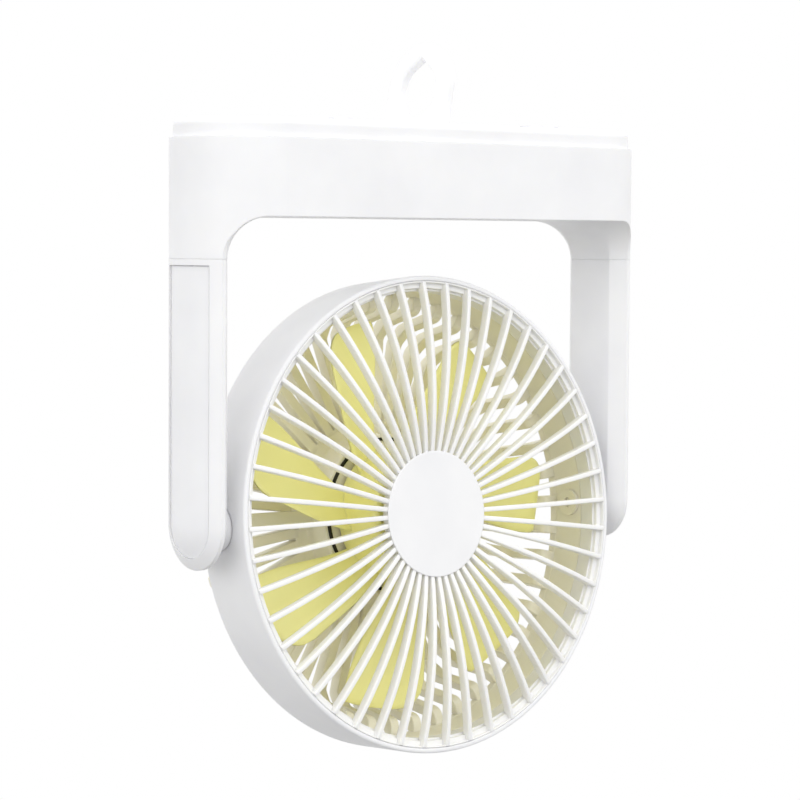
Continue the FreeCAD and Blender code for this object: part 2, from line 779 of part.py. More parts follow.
# Loop: an arched plate with a pointed eye, on a barrel that turns on a pin in the cap's well
def loop_blank():
    """The plate with its eye, drawn upright in its own plane and centred on its thickness."""
    half, rise = S.loop_half, S.loop_straight
    body = doc.addObject("PartDesign::Body", "loop_form")
    point = S.eye_point
    tangent = math.degrees(math.acos(float(S.eye_radius) / float(point)))
    sketch = body.newObject("Sketcher::SketchObject", "loop_plan")
    support = [f for f in body.Origin.OriginFeatures if f.Role == "YZ_Plane"][0]
    sketch.AttachmentSupport = [(support, "")]
    sketch.MapMode = "FlatFace"
    h, r = float(half), float(rise)
    up = Vector(0, 0, 1)
    sketch.addGeometry(Part.LineSegment(Vector(-h, 0, 0), Vector(h, 0, 0)), False)
    sketch.addGeometry(Part.LineSegment(Vector(h, 0, 0), Vector(h, r, 0)), False)
    sketch.addGeometry(Part.ArcOfCircle(Part.Circle(Vector(0, r, 0), up, h), 0, math.pi), False)
    sketch.addGeometry(Part.LineSegment(Vector(-h, r, 0), Vector(-h, 0, 0)), False)
    sketch.addConstraint(Sketcher.Constraint("Coincident", 0, 2, 1, 1))
    sketch.addConstraint(Sketcher.Constraint("Tangent", 1, 2, 2, 1))
    sketch.addConstraint(Sketcher.Constraint("Tangent", 2, 2, 3, 1))
    sketch.addConstraint(Sketcher.Constraint("Coincident", 3, 2, 0, 1))
    hold_point(sketch, 0, 1, (-half, 0.0))
    hold_point(sketch, 0, 2, (half, 0.0))
    hold_point(sketch, 2, 3, (0.0, rise))
    er, ep, pt = float(S.eye_radius), float(S.eye_place), float(point)
    side = Vector(er * math.sin(math.radians(tangent)), ep + er * math.cos(math.radians(tangent)), 0)
    other = Vector(-side.x, side.y, 0)
    peak = Vector(0, ep + pt, 0)
    start = math.atan2(side.y - ep, side.x)
    sketch.addGeometry(Part.ArcOfCircle(Part.Circle(Vector(0, ep, 0), up, er),
                                        math.pi - start, 2 * math.pi + start), False)
    sketch.addGeometry(Part.LineSegment(side, peak), False)
    sketch.addGeometry(Part.LineSegment(peak, other), False)
    sketch.addConstraint(Sketcher.Constraint("Tangent", 4, 2, 5, 1))
    sketch.addConstraint(Sketcher.Constraint("Coincident", 5, 2, 6, 1))
    sketch.addConstraint(Sketcher.Constraint("Tangent", 6, 2, 4, 1))
    hold_point(sketch, 4, 3, (0.0, S.eye_place))
    hold_point(sketch, 5, 2, (0.0, S.eye_place + point))
    radius = sketch.addConstraint(Sketcher.Constraint("Radius", 4, er))
    sketch.setExpression("Constraints[" + str(radius) + "]", S.eye_radius.text)
    pad = body.newObject("PartDesign::Pad", "loop_pad")
    pad.Profile = sketch
    bind(pad, "Length", S.loop_thick)
    pad.Midplane = True
    doc.recompute()
    faces = (float(S.loop_thick) / 2, -float(S.loop_thick) / 2)
    edges = []
    for number, edge in enumerate(pad.Shape.Edges, start=1):
        box = edge.BoundBox
        flat = any(abs(box.XMin - x) < 1e-6 and abs(box.XMax - x) < 1e-6 for x in faces)
        if flat and box.ZMax > 1e-3:
            edges.append("Edge" + str(number))
    rounding = body.newObject("PartDesign::Fillet", "loop_rounding")
    rounding.Base = (pad, edges)
    bind(rounding, "Radius", S.loop_round)
    body.Tip = rounding
    return body


barrel = rod("loop_barrel", (0.0, -S.loop_half, 0.0), S.hinge_barrel, 2 * S.loop_half, "Y")
loop_bore = rod("loop_bore", (0.0, -S.loop_half - 1.0, 0.0), S.pin_radius + S.axle_fit,
                2 * S.loop_half + 2.0, "Y")
loop_piece = cut("loop_piece", join("loop_solid", loop_blank(), barrel), loop_bore)
finish(loop_piece, "hanging_loop", (S.hinge_place, 0.0, S.hinge_height),
       Rotation(Vector(0, 1, 0), float(S.loop_lean)))
pin = rod("loop_pin_piece", (0.0, 0.0, 0.0), S.pin_radius, S.pin_front + S.pin_rear, "Y")
finish(pin, "loop_pin", (S.hinge_place, -S.pin_front, S.hinge_height), ALONG["Y"])


# Cells, cradle, contacts and board inside the base
CELL_LEVEL = CAVITY_FLOOR + 1.4 + S.cell_radius
CELL_SIDES = (("front", S.board_place - 3.0 - 3 * S.cell_radius - S.cell_gap),
              ("rear", S.board_place - 3.0 - S.cell_radius))


def cell(name, side):
    body = rod(name + "_can", (-S.cell_length / 2, side, CELL_LEVEL), S.cell_radius,
               S.cell_length - 1.2, "X")
    nub = rod(name + "_nub", (S.cell_length / 2 - 1.4, side, CELL_LEVEL), 2.8, Size(1.4, "1.4"), "X")
    return join(name + "_cell", body, nub)


def cradle():
    low = (-S.cell_length / 2 - 2.4, CELL_SIDES[0][1] - S.cell_radius - 0.9, CAVITY_FLOOR)
    high = (S.cell_length / 2 + 2.4, CELL_SIDES[1][1] + S.cell_radius + 0.9, CELL_LEVEL - 0.5)
    hollows = [rod("cradle_" + name, (-S.cell_length / 2 - 0.8, side, CELL_LEVEL),
                   S.cell_radius + 0.1, S.cell_length + 1.6, "X") for name, side in CELL_SIDES]
    return cut("cradle_piece", block("cradle_block", low, high), *hollows)


def contact(name, end, side):
    near = S.cell_length / 2 + 0.1
    low = near if end > 0 else -near - 0.6
    return block(name, (low, side - 4.0, CELL_LEVEL - 5.0), (low + 0.6, side + 4.0, CELL_LEVEL + 4.0))


finish(group("cell_group", *[cell(*spot) for spot in CELL_SIDES]), "battery_cells")
finish(cradle(), "battery_cradle")
finish(group("contact_group", *[contact("contact_" + name + str(number), end, side)
                                for name, side in CELL_SIDES
                                for number, end in enumerate((-1, 1))]), "battery_contacts")
BOARD_REAR = S.board_place + S.board_thick
board = block("board_blank", (-S.board_half, S.board_place, -S.button_level - S.board_height / 2),
              (S.board_half, BOARD_REAR, -S.button_level + S.board_height / 2))
board_piece = cut("board_piece", board, *[board_post_hole("b" + number, x)
                                          for number, x in BOARD_POSTS])
finish(board_piece, "control_board")


def board_screw(number, x):
    shank = rod("board_shank_" + number, (x, S.board_place - 1.0, -S.button_level), 0.9,
                Size(5.0, "5"), "Y")
    head = rod("board_head_" + number, (x, S.board_place - 1.4, -S.button_level), 1.9,
               Size(1.4, "1.4"), "Y")
    return join("board_screw_" + number, shank, head)


finish(group("board_screw_group", *[board_screw(*spot) for spot in BOARD_POSTS]), "board_screws")
BUTTON_BACK = END - S.shell_wall - 1.3


def tact_switch(name, x):
    body = block(name + "_case", (x - 3.0, BOARD_REAR, -S.button_level - 3.0),
                 (x + 3.0, BUTTON_BACK - S.button_travel - 0.6, -S.button_level + 3.0))
    stem = rod(name + "_stem", (x, BUTTON_BACK - S.button_travel - 0.7, -S.button_level), 1.6,
               Size(0.6, "0.6"), "Y")
    return join(name + "_switch", body, stem)


def push_button(name, x):
    """A round button with a flange that keeps it behind the wall and a dished face."""
    flange = rod(name + "_flange", (x, BUTTON_BACK, -S.button_level), S.button_radius + 1.0,
                 Size(1.1, "1.1"), "Y")
    body = rod(name + "_body", (x, BUTTON_BACK, -S.button_level), S.button_radius,
               END + S.button_proud - BUTTON_BACK, "Y")
    dish_radius = S.button_radius * 3.0
    depth = dish_radius - root_of(dish_radius * dish_radius - (S.button_radius - 0.8)
                                  * (S.button_radius - 0.8))
    dish = doc.addObject("Part::Sphere", name + "_dish")
    bind(dish, "Radius", dish_radius)
    move(dish, (x, END + S.button_proud + dish_radius - depth, -S.button_level))
    return cut(name, join(name + "_blank", flange, body), dish)


finish(tact_switch("fan", S.fan_button_place), "tact_switch")
finish(push_button("fan_button_piece", S.fan_button_place), "fan_button")

usb_low = (-S.usb_place - S.usb_width / 2, BOARD_REAR, -S.button_level - S.usb_height / 2)
usb_high = (-S.usb_place + S.usb_width / 2, END - 0.4, -S.button_level + S.usb_height / 2)
usb_shell = block("usb_shell", usb_low, usb_high)
usb_mouth = block("usb_mouth", (usb_low[0] + 0.4, BOARD_REAR + 1.2, usb_low[2] + 0.4),
                  (usb_high[0] - 0.4, END, usb_high[2] - 0.4))
usb_tongue = block("usb_tongue", (usb_low[0] + 1.3, BOARD_REAR + 1.0, -S.button_level - 0.35),
                   (usb_high[0] - 1.3, END - 1.4, -S.button_level + 0.35))
finish(join("usb_piece", cut("usb_case", usb_shell, usb_mouth), usb_tongue), "usb_port")
lens = rod("lens_piece", (0.0, 0.0, 0.0), S.lens_radius, END + 0.1 - BOARD_REAR, "Y")
finish(lens, "indicator_lens", (S.lens_place, BOARD_REAR, -S.button_level), ALONG["Y"])


# Head, drawn about its own axis with +Z forwards: drum, front grille, hub cap and rear guard
def side_holes(name, radius):
    """A hole through both sides of the drum on the tilt axis."""
    reach = S.drum_radius + 2.0
    return rod(name, (-reach, 0.0, 0.0), radius, 2 * reach, "X")


def drum():
    rear, front = -S.drum_rear, S.drum_front
    turn = S.drum_round
    body = turned("drum_form", (S.drum_bore, rear),
                  [(S.drum_rear_radius - turn, rear), (S.drum_rear_radius, rear + turn),
                   (S.drum_radius, front - turn - 0.5), (S.drum_radius - turn, front),
                   (S.rim_seat, front), (S.rim_seat, front - S.rim_depth),
                   (S.drum_bore, front - S.rim_depth)])
    return cut("drum_piece", body, side_holes("drum_hole", S.axle_radius))


finish_head(drum(), "fan_drum")


def spoke_gap(count, low, high, width, bottom, top):
    """A wedge between two neighbouring spokes, from one radius to another, as a solid."""
    half_step = math.pi / count
    inner, outer, half = float(low), float(high), float(width) / 2

    def corner(radius, side):
        turn = side * (half_step - math.asin(half / radius))
        return Vector(radius * math.cos(turn), radius * math.sin(turn), float(bottom))

    def middle(radius):
        return Vector(radius, 0, float(bottom))

    wire = Part.Wire([Part.makeLine(corner(inner, -1), corner(outer, -1)),
                      Part.Arc(corner(outer, -1), middle(outer), corner(outer, 1)).toShape(),
                      Part.makeLine(corner(outer, 1), corner(inner, 1)),
                      Part.Arc(corner(inner, 1), middle(inner), corner(inner, -1)).toShape()])
    return Part.Face(wire).extrude(Vector(0, 0, float(top) - float(bottom)))


def round_about(shape, count, offset):
    """Copies of a shape turned about the Z axis in equal steps."""
    copies = []
    for number in range(count):
        copy = shape.copy()
        copy.rotate(Vector(), Vector(0, 0, 1), offset + 360.0 * number / count)
        copies.append(copy)
    return copies


def front_grille():
    hub_front = S.drum_front - 0.5
    hub_back = hub_front - 2.6
    rib_low = S.rib_crest - S.rib_depth
    ring_back = S.drum_front - S.rim_depth + 0.1
    ring_edge = S.rim_seat - S.skirt_gap
    form = turned("grille_form", (0.0, hub_back),
                  [(S.hub_radius, hub_back),
                   (S.skirt_bore, ring_back, S.rib_crest_place, rib_low),
                   (S.skirt_bore, S.skirt_split),
                   (S.drum_bore - S.skirt_gap, S.skirt_split),
                   (S.drum_bore - S.skirt_gap, ring_back), (ring_edge, ring_back),
                   (ring_edge, S.drum_front - 0.3), (ring_edge - 0.3, S.drum_front),
                   (S.ring_bore + 0.9, S.drum_front + S.ring_rise),
                   (S.ring_bore - 0.2, S.drum_front + S.ring_rise),
                   (S.hub_radius, S.drum_front + 0.2, S.rib_crest_place, S.rib_crest),
                   (S.hub_radius, hub_front), (0.0, hub_front)])
    doc.recompute()
    count = int(S.rib_count.number)
    gap = spoke_gap(count, S.hub_radius + 0.3, S.ring_bore, S.rib_width, ring_back - 0.1,
                    S.rib_crest + 1.0)
    offset = float(S.rib_phase) + 180.0 / count
    gaps = feature("grille_gaps", Part.makeCompound(round_about(gap, count, offset)))
    return cut("grille_piece", form, gaps)


finish_head(front_grille(), "front_grille")
CAP_BACK = S.drum_front - 0.5
hub_cap = turned("hub_cap_form", (0.0, CAP_BACK + 0.05),
                 [(S.hub_radius - 0.4, CAP_BACK + 0.05), (S.hub_radius - 0.4, CAP_BACK + 0.85),
                  (S.hub_cap_radius, CAP_BACK + 0.85),
                  (S.hub_cap_radius, CAP_BACK + S.hub_cap_thick - 0.4),
                  (S.hub_cap_radius - 0.4, CAP_BACK + S.hub_cap_thick),
                  (0.0, CAP_BACK + S.hub_cap_thick)])
finish_head(hub_cap, "hub_cap")


# The dish's front line, from the rim inwards: shoulder, steep wall, turn and floor
RIM = S.skirt_bore
SHOULDER = (RIM - S.dish_shoulder - 3.0, GUARD_FACE - 3.4)
WALL_FOOT = (RIM - S.dish_wall, FLOOR + 4.4)
FLOOR_EDGE = (RIM - S.dish_wall - S.dish_turn, FLOOR)
FLOOR_BORE = (S.pod_radius, FLOOR + S.dish_rise)


def rear_guard():
    """A skirt inside the drum, a deep dish of radial bars, and the pod and post of the motor."""
    face, rear = GUARD_FACE, -S.drum_rear
    pod_in = S.pod_radius - S.pod_wall
    plate_back = POD_PLATE - S.pod_plate
    edge = S.drum_bore - S.skirt_gap
    thick, deep = S.dish_thick, S.floor_thick
    form = turned("guard_form", (S.bearing_radius, POD_PLATE - 7.0),
                  [(S.post_radius, POD_PLATE - 7.0), (S.post_radius, plate_back), (pod_in, plate_back),
                   (pod_in, -S.pod_rear), (S.pod_radius, -S.pod_rear),
                   (S.pod_radius, FLOOR_BORE[1] - deep), (FLOOR_EDGE[0] + 1.0, FLOOR - deep),
                   (WALL_FOOT[0] + thick, WALL_FOOT[1] - 1.6,
                    FLOOR_EDGE[0] + thick + 2.7, FLOOR - deep + 2.6),
                   (SHOULDER[0] + thick - 0.3, SHOULDER[1] - 3.5),
                   (RIM - 0.8, rear, RIM - 2.5, rear - 1.1),
                   (edge, rear), (edge, S.skirt_split - 0.2), (S.skirt_bore, S.skirt_split - 0.2),
                   (S.skirt_bore, face), (RIM - S.dish_shoulder, face),
                   (SHOULDER[0], SHOULDER[1], SHOULDER[0] + 0.95, face - 1.0), WALL_FOOT,
                   (FLOOR_EDGE[0], FLOOR, FLOOR_EDGE[0] + 3.4, FLOOR + 1.3), FLOOR_BORE,
                   (S.pod_radius, POD_PLATE), (S.post_radius, POD_PLATE),
                   (S.post_radius, S.post_front), (S.bearing_radius, S.post_front)])
    doc.recompute()
    count = int(S.bar_count.number)
    gap = spoke_gap(count, S.guard_open_bore, S.skirt_bore - 0.2, S.bar_width,
                    FLOOR - deep - 2.0, face + 1.0)
    offset = float(S.bar_phase) + 180.0 / count
    slots = feature("guard_gaps", Part.makeCompound(round_about(gap, count, offset)))
    lead_hole = rod("guard_lead_hole", (-S.pod_radius - 1.0, 0.0, POD_LEAD), S.lead_radius + 0.5,
                    S.pod_wall + 2.0, "X")
    return cut("guard_piece", form, slots, side_holes("guard_hole", S.axle_radius), lead_hole)


POD_LEAD = FLOOR + S.dish_rise + 1.7
finish_head(rear_guard(), "rear_guard")
POD_END = -S.pod_rear
motor_cover = turned("motor_cover_form", (0.0, POD_END - 2.0),
                     [(S.pod_radius - 2.0, POD_END - 2.0), (S.pod_radius, POD_END - 0.8),
                      (S.pod_radius, POD_END - 0.05), (S.pod_radius - S.pod_wall - 0.1, POD_END - 0.05),
                      (S.pod_radius - S.pod_wall - 0.1, POD_END + 1.6),
                      (S.pod_radius - S.pod_wall - 1.5, POD_END + 1.6),
                      (S.pod_radius - S.pod_wall - 1.5, POD_END), (0.0, POD_END)])
finish_head(motor_cover, "motor_cover")


# Motor: stator on the guard's post, rotor cup and magnet inside the impeller's hub
def star(name, count, offset, low, high, inner, outer, half):
    """Square teeth in a ring."""
    tooth = Part.makeBox(float(outer - inner), float(2 * half), float(high - low),
                         Vector(float(inner), -float(half), float(low)))
    return feature(name, Part.makeCompound(round_about(tooth, count, offset)))


STATOR_LOW = -S.stator_half
STATOR_HIGH = S.stator_half
teeth_count = int(S.tooth_count.number)
core_ring = tube("core_ring", (0.0, 0.0, STATOR_LOW), S.post_radius + 3.0, S.post_radius,
                 STATOR_HIGH - STATOR_LOW)
teeth = star("core_teeth", teeth_count, 0.0, STATOR_LOW, STATOR_HIGH, S.post_radius + 2.0,
             S.stator_radius - 1.0, Size(1.3, "1.3"))
shoe_ring = tube("core_shoes", (0.0, 0.0, STATOR_LOW), S.stator_radius, S.stator_radius - 1.6,
                 STATOR_HIGH - STATOR_LOW)
shoe_gaps = star("shoe_gaps", teeth_count, 180.0 / teeth_count, STATOR_LOW - 1.0, STATOR_HIGH + 1.0,
                 S.stator_radius - 3.0, S.stator_radius + 2.0, Size(0.8, "0.8"))
finish_head(cut("core_piece", join("core_solid", core_ring, teeth, shoe_ring), shoe_gaps),
            "stator_core")


def coil_shape():
    """One winding as a square block round its tooth."""
    inner, outer = float(S.post_radius) + 3.3, float(S.stator_radius) - 2.0
    low, high = float(STATOR_LOW) - 1.4, float(STATOR_HIGH) + 1.4
    step = math.pi / teeth_count
    half = min(2.9, inner * math.tan(step) - 0.15)
    block_out = Part.makeBox(outer - inner, 2 * half, high - low, Vector(inner, -half, low))
    hole = Part.makeBox(outer - inner + 2, 2.7, float(STATOR_HIGH - STATOR_LOW) + 0.1,
                        Vector(inner - 1, -1.35, float(STATOR_LOW) - 0.05))
    return block_out.cut(hole)


finish_head(feature("coil_group", Part.makeCompound(round_about(coil_shape(), teeth_count, 0.0))),
            "stator_coils")
finish_head(tube("motor_board_piece", (0.0, 0.0, POD_PLATE - S.pod_plate - 2.4), S.pod_radius - S.pod_wall - 0.3,
                 S.post_radius, Size(1.6, "1.6")), "motor_board")
bearings = [tube("bearing_" + name, (0.0, 0.0, level), S.bearing_radius, S.shaft_radius + S.axle_fit,
                 S.bearing_length)
            for name, level in (("rear", POD_PLATE - 6.5), ("front", S.post_front - S.bearing_length))]
finish_head(group("bearing_group", *bearings), "shaft_bearings")
finish_head(tube("gasket_piece", (0.0, 0.0, POD_PLATE), S.pod_radius - 1.5, S.pod_radius - 2.7,
                 S.gasket_thick), "motor_gasket")

CUP_FRONT = S.cup_front
CUP_BACK = -S.cup_rear
finish_head(turned("cup_form", (S.shaft_radius, CUP_FRONT - S.cup_thick),
                   [(S.magnet_radius, CUP_FRONT - S.cup_thick), (S.magnet_radius, CUP_BACK),
                    (S.magnet_radius + S.cup_thick, CUP_BACK),
                    (S.magnet_radius + S.cup_thick, CUP_FRONT), (S.shaft_radius, CUP_FRONT)]),
            "rotor_cup")
finish_head(tube("magnet_piece", (0.0, 0.0, CUP_BACK + 0.2), S.magnet_radius, S.magnet_radius - 2.0,
                 CUP_FRONT - S.cup_thick - CUP_BACK - 0.2), "magnet_ring")
shaft_low = POD_PLATE - 7.9
shaft_rod = rod("shaft_rod", (0.0, 0.0, shaft_low), S.shaft_radius, CUP_FRONT - shaft_low)
finish_head(group("shaft_piece", shaft_rod), "motor_shaft")
finish_head(tube("shaft_clip_piece", (0.0, 0.0, shaft_low + 0.2), 2.6, S.shaft_radius, Size(0.5, "0.5")),
            "shaft_clip")


# Impeller: a cup-shaped hub with seven wide blades that lean back towards their tips
def blade_section(radius, span, turn, rear, front):
    """A thin curved section across one blade, square to the radius, as a closed wire."""
    half = float(S.blade_thick) / 2
    rise = front - rear
    direction = Vector(0, span, rise).normalize()
    normal = Vector(0, direction.z, -direction.y)
    belly = 0.05 * math.hypot(span, rise)
    middle = Vector(radius, 0, (front + rear) / 2)
    end = direction * (math.hypot(span, rise) / 2)
    points = []
    for side in (1.0, -1.0):
        shift = normal * (side * half)
        points.append((middle - end + shift, middle + normal * belly + shift, middle + end + shift))
    (a, b, c), (d, e, f) = points
    wire = Part.Wire([Part.Arc(a, b, c).toShape(), Part.makeLine(c, f),
                      Part.Arc(f, e, d).toShape(), Part.makeLine(d, a)])
    wire.rotate(Vector(), Vector(0, 0, 1), turn)
    return wire


BLADE_SHAPE = (
    # share of the way to the tip, width across in degrees, turn of the middle, rear and front level
    (0.00, 35.8, 21.1, -10.4, -4.5),
    (0.25, 31.8, 13.2, -11.0, -3.6),
    (0.50, 29.4, 7.7, -11.2, -2.8),
    (0.75, 27.3, 4.5, -11.2, -1.9),
    (1.04, 25.1, 3.5, -11.2, -0.9),
)


def blade_shape():
    """A lofted blade, trimmed to a plan with one rounded tip corner and to the hub's wall."""
    low, tip = float(S.impeller_hub) - 2.0, float(S.blade_tip)
    sections = []
    for share, width, turn, rear, front in BLADE_SHAPE:
        radius = low + (tip - low) * share
        span = 2.0 * radius * math.tan(math.radians(width / 2))
        sections.append(blade_section(radius, span, turn, rear, front))
    body = Part.makeLoft(sections, True, False)
    corner = float(S.blade_corner)
    back = tip - corner
    edge = BLADE_SHAPE[3][2] + BLADE_SHAPE[3][1] / 2
    turn = edge - math.degrees(corner / back) - 0.3
    up = Vector(0, 0, 1)
    spot = Vector(back * math.cos(math.radians(turn)), back * math.sin(math.radians(turn)), -30)
    cap = Part.makeCylinder(corner, 60, spot, up)
    sector = Part.makeCylinder(tip, 60, Vector(0, 0, -30), up, 60.0)
    sector.rotate(Vector(), up, turn - 60.0)
    inner = Part.makeCylinder(back, 60, Vector(0, 0, -30), up, 120)
    inner.rotate(Vector(), up, -50)
    plan = sector.multiFuse([cap, inner])
    return body.common(plan).cut(
        Part.makeCylinder(float(S.impeller_hub) - 1.4, 60, Vector(0, 0, -30), up))


def impeller():
    hub_wall = S.impeller_hub - S.impeller_wall
    back, front = -S.impeller_rear, S.impeller_front
    hub = turned("hub_form", (0.0, CUP_FRONT + 0.02),
                 [(hub_wall, CUP_FRONT + 0.02), (hub_wall, back), (S.impeller_hub, back),
                  (S.impeller_hub, front - 2.6),
                  (S.impeller_hub - 2.6, front, S.impeller_hub - 0.76, front - 0.76),
                  (0.0, front)])
    blades = round_about(blade_shape(), int(S.blade_count.number), float(S.blade_phase))
    pieces = [feature("blade_" + str(number), blade) for number, blade in enumerate(blades, start=1)]
    return join("impeller_piece", hub, *pieces)


finish_head(impeller(), "impeller")


# Pivots: hollow axles through the drum and arms, with bosses, washers and clips
def pivot_boss(name):
    start = S.drum_radius - 4.0
    disc = rod(name + "_disc", (start, 0.0, 0.0), S.boss_radius, S.arm_face - S.boss_gap - start, "X")
    clearing = rod(name + "_drum", (0.0, 0.0, -40.0), S.drum_radius + 0.05, 80.0)
    return cut(name, disc, clearing, rod(name + "_hole", (start - 1.0, 0.0, 0.0), S.axle_radius, 20.0, "X"))


def axle(name):
    start = S.skirt_bore - 1.6
    shaft = rod(name + "_rod", (start, 0.0, 0.0), S.axle_radius, S.axle_end - start, "X")
    flange = rod(name + "_flange", (start, 0.0, 0.0), S.axle_flange, 1.3, "X")
    bore = rod(name + "_bore", (start - 1.0, 0.0, 0.0), S.axle_bore, 30.0, "X")
    return cut(name, join(name + "_blank", shaft, flange), bore)


WASHER_START = S.arm_face + S.arm_wall + S.bearing_stub + 0.05
clip_start = WASHER_START + S.washer_thick + 0.1
right_clip = tube("right_clip_piece", (clip_start, 0.0, 0.0), 6.4, S.axle_radius, S.clip_thick, "X")
right_washer = tube("right_washer_piece", (WASHER_START, 0.0, PIVOT), 6.8, S.axle_radius + 0.15,
                    S.washer_thick, "X")
both_sides(pivot_boss("boss_piece"), "pivot_boss", finish_head)
both_sides(axle("axle_piece"), "axle", finish_head)
finish_head(group("clip_group", right_clip, mirrored("left_clip_piece", right_clip)), "axle_clips")
finish(group("washer_group", right_washer, mirrored("left_washer_piece", right_washer)),
       "pivot_washers")


# Leads: from the base down the left arm to the axle, and from the axle along the guard to the motor
def lead_shape(points, radii, radius):
    """A round lead along straight runs joined by arcs of given radii."""
    edges = []
    here = points[0]
    for number in range(1, len(points) - 1):
        corner, bend = points[number], radii[number - 1]
        back = (points[number - 1] - corner).normalize()
        onward = (points[number + 1] - corner).normalize()
        half = back.getAngle(onward) / 2
        reach = bend / math.tan(half)
        first, last = corner + back * reach, corner + onward * reach
        centre = corner + (back + onward).normalize() * (bend / math.sin(half))
        middle = centre + (corner - centre).normalize() * bend
        edges.append(Part.makeLine(here, first))
        edges.append(Part.Arc(first, middle, last).toShape())
        here = last
    edges.append(Part.makeLine(here, points[-1]))
    path = Part.Wire(edges)
    direction = (points[1] - points[0]).normalize()
    ring = Part.Wire([Part.makeCircle(radius, points[0], direction)])
    solid = path.makePipeShell([ring], True, False)
    print("lead bends", [round(float(bend), 2) for bend in radii], "length", round(path.Length, 1),
          "volume ratio", round(solid.Volume / (math.pi * radius * radius * path.Length), 4))
    return solid


lead = float(S.lead_radius)
lead_x = -float(S.lead_place)
lead_level = float(CAVITY_FLOOR) + 5.5
arm_route = [Vector(0.8 - float(S.board_half), float(S.board_place) - lead - 0.15, lead_level),
             Vector(-10.0 - float(S.board_half), float(S.board_place) - 7.4, lead_level),
             Vector(lead_x, 0, lead_level),
             Vector(lead_x, 0, float(PIVOT)),
             Vector(0.5 - float(S.axle_end), 0, float(PIVOT))]
finish(feature("arm_lead_piece", lead_shape(arm_route, [4.0, 3.5, 1.8], lead)), "arm_lead")

rim, floor, pod_lead = float(RIM), float(FLOOR), float(POD_LEAD)
hole_x = -float(S.lead_end_place)
slope = float(S.dish_rise) / float(FLOOR_EDGE[0] - S.pod_radius)
foot_x = 13.4 - rim
inside = pod_lead + slope * (float(S.pod_radius) - float(S.lead_end_place))
head_route = [Vector(0.8 - float(S.axle_end), 0, 0), Vector(4.2 - rim, 0, 0),
              Vector(foot_x, 0, pod_lead + slope * (float(S.pod_radius) + foot_x)),
              Vector(hole_x, 0, inside),
              Vector(hole_x, 0, float(POD_PLATE - S.pod_plate) - 2.5)]
finish_head(feature("head_lead_piece", lead_shape(head_route, [2.5, 2.5, 1.8], lead)), "head_lead")


def channel_band(name, height, reach):
    """A ring on the dish's floor and the foot of its wall, to a height above them."""
    return turned(name, (S.pod_radius, FLOOR_BORE[1]),
                  [FLOOR_EDGE, (WALL_FOOT[0], WALL_FOOT[1], FLOOR_EDGE[0] + 3.4, FLOOR + 1.3),
                   (WALL_FOOT[0] + 0.9, WALL_FOOT[1] + 3.5), (WALL_FOOT[0] + 0.9 - reach, WALL_FOOT[1] + 3.5),
                   (FLOOR_EDGE[0] - 0.4 * height, FLOOR + height), (S.pod_radius, FLOOR_BORE[1] + height)])


def lead_cover():
    """A channel over the lead on the dish's floor, wider beside the motor's pod."""
    low = WALL_FOOT[0] + 1.0
    slim = block("channel_slim", (-low, -2.2, FLOOR - 1.0), (-S.pod_radius + 2.0, 3.2, GUARD_FACE))
    wide = block("channel_wide", (-S.pod_radius - 6.3, -3.8, FLOOR - 1.0),
                 (-S.pod_radius + 2.0, 5.0, GUARD_FACE))
    form = overlap("channel_form", join("channel_plan", slim, wide),
                   channel_band("channel_outside", S.channel_height, Size(4.6, "4.6")))
    hollow = overlap("channel_hollow", block("channel_way", (-low - 5.0, -S.lead_radius - 0.4, FLOOR - 2.0),
                                             (0.0, S.lead_radius + 0.4, GUARD_FACE)),
                     channel_band("channel_inside", S.channel_height - S.channel_wall, Size(3.7, "3.7")))
    return cut("channel_piece", form, hollow)


finish_head(lead_cover(), "lead_cover")

doc.recompute()
faults = [thing.Label for thing in doc.Objects
          if "Invalid" in thing.State or "Error" in thing.State]
if faults:
    raise RuntimeError("failed objects: " + ", ".join(faults))
for node in nodes:
    if node.Shape.isNull() or not node.Shape.isValid() or not node.Shape.Solids:
        raise RuntimeError("bad shape: " + node.Label)
os.makedirs("parts", exist_ok=True)
for node in nodes:
    node.Shape.exportStep(os.path.join("parts", node.Label + ".step"))
    print(node.Label, len(node.Shape.Solids), round(node.Shape.Volume, 1))
print(len(nodes), "nodes")
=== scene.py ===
"""A hanging camping fan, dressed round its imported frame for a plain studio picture.

Lengths of new pieces are written in millimetres, in the head's own space (x right, y up and z
forward, about the impeller's axis), and are brought to metres when a piece is placed. Lengths in
finishes and in the studio are in metres.
"""

import json
import logging
import math
from dataclasses import dataclass
from enum import Enum
from typing import Protocol

import bmesh
import bpy
from mathutils import Matrix, Vector

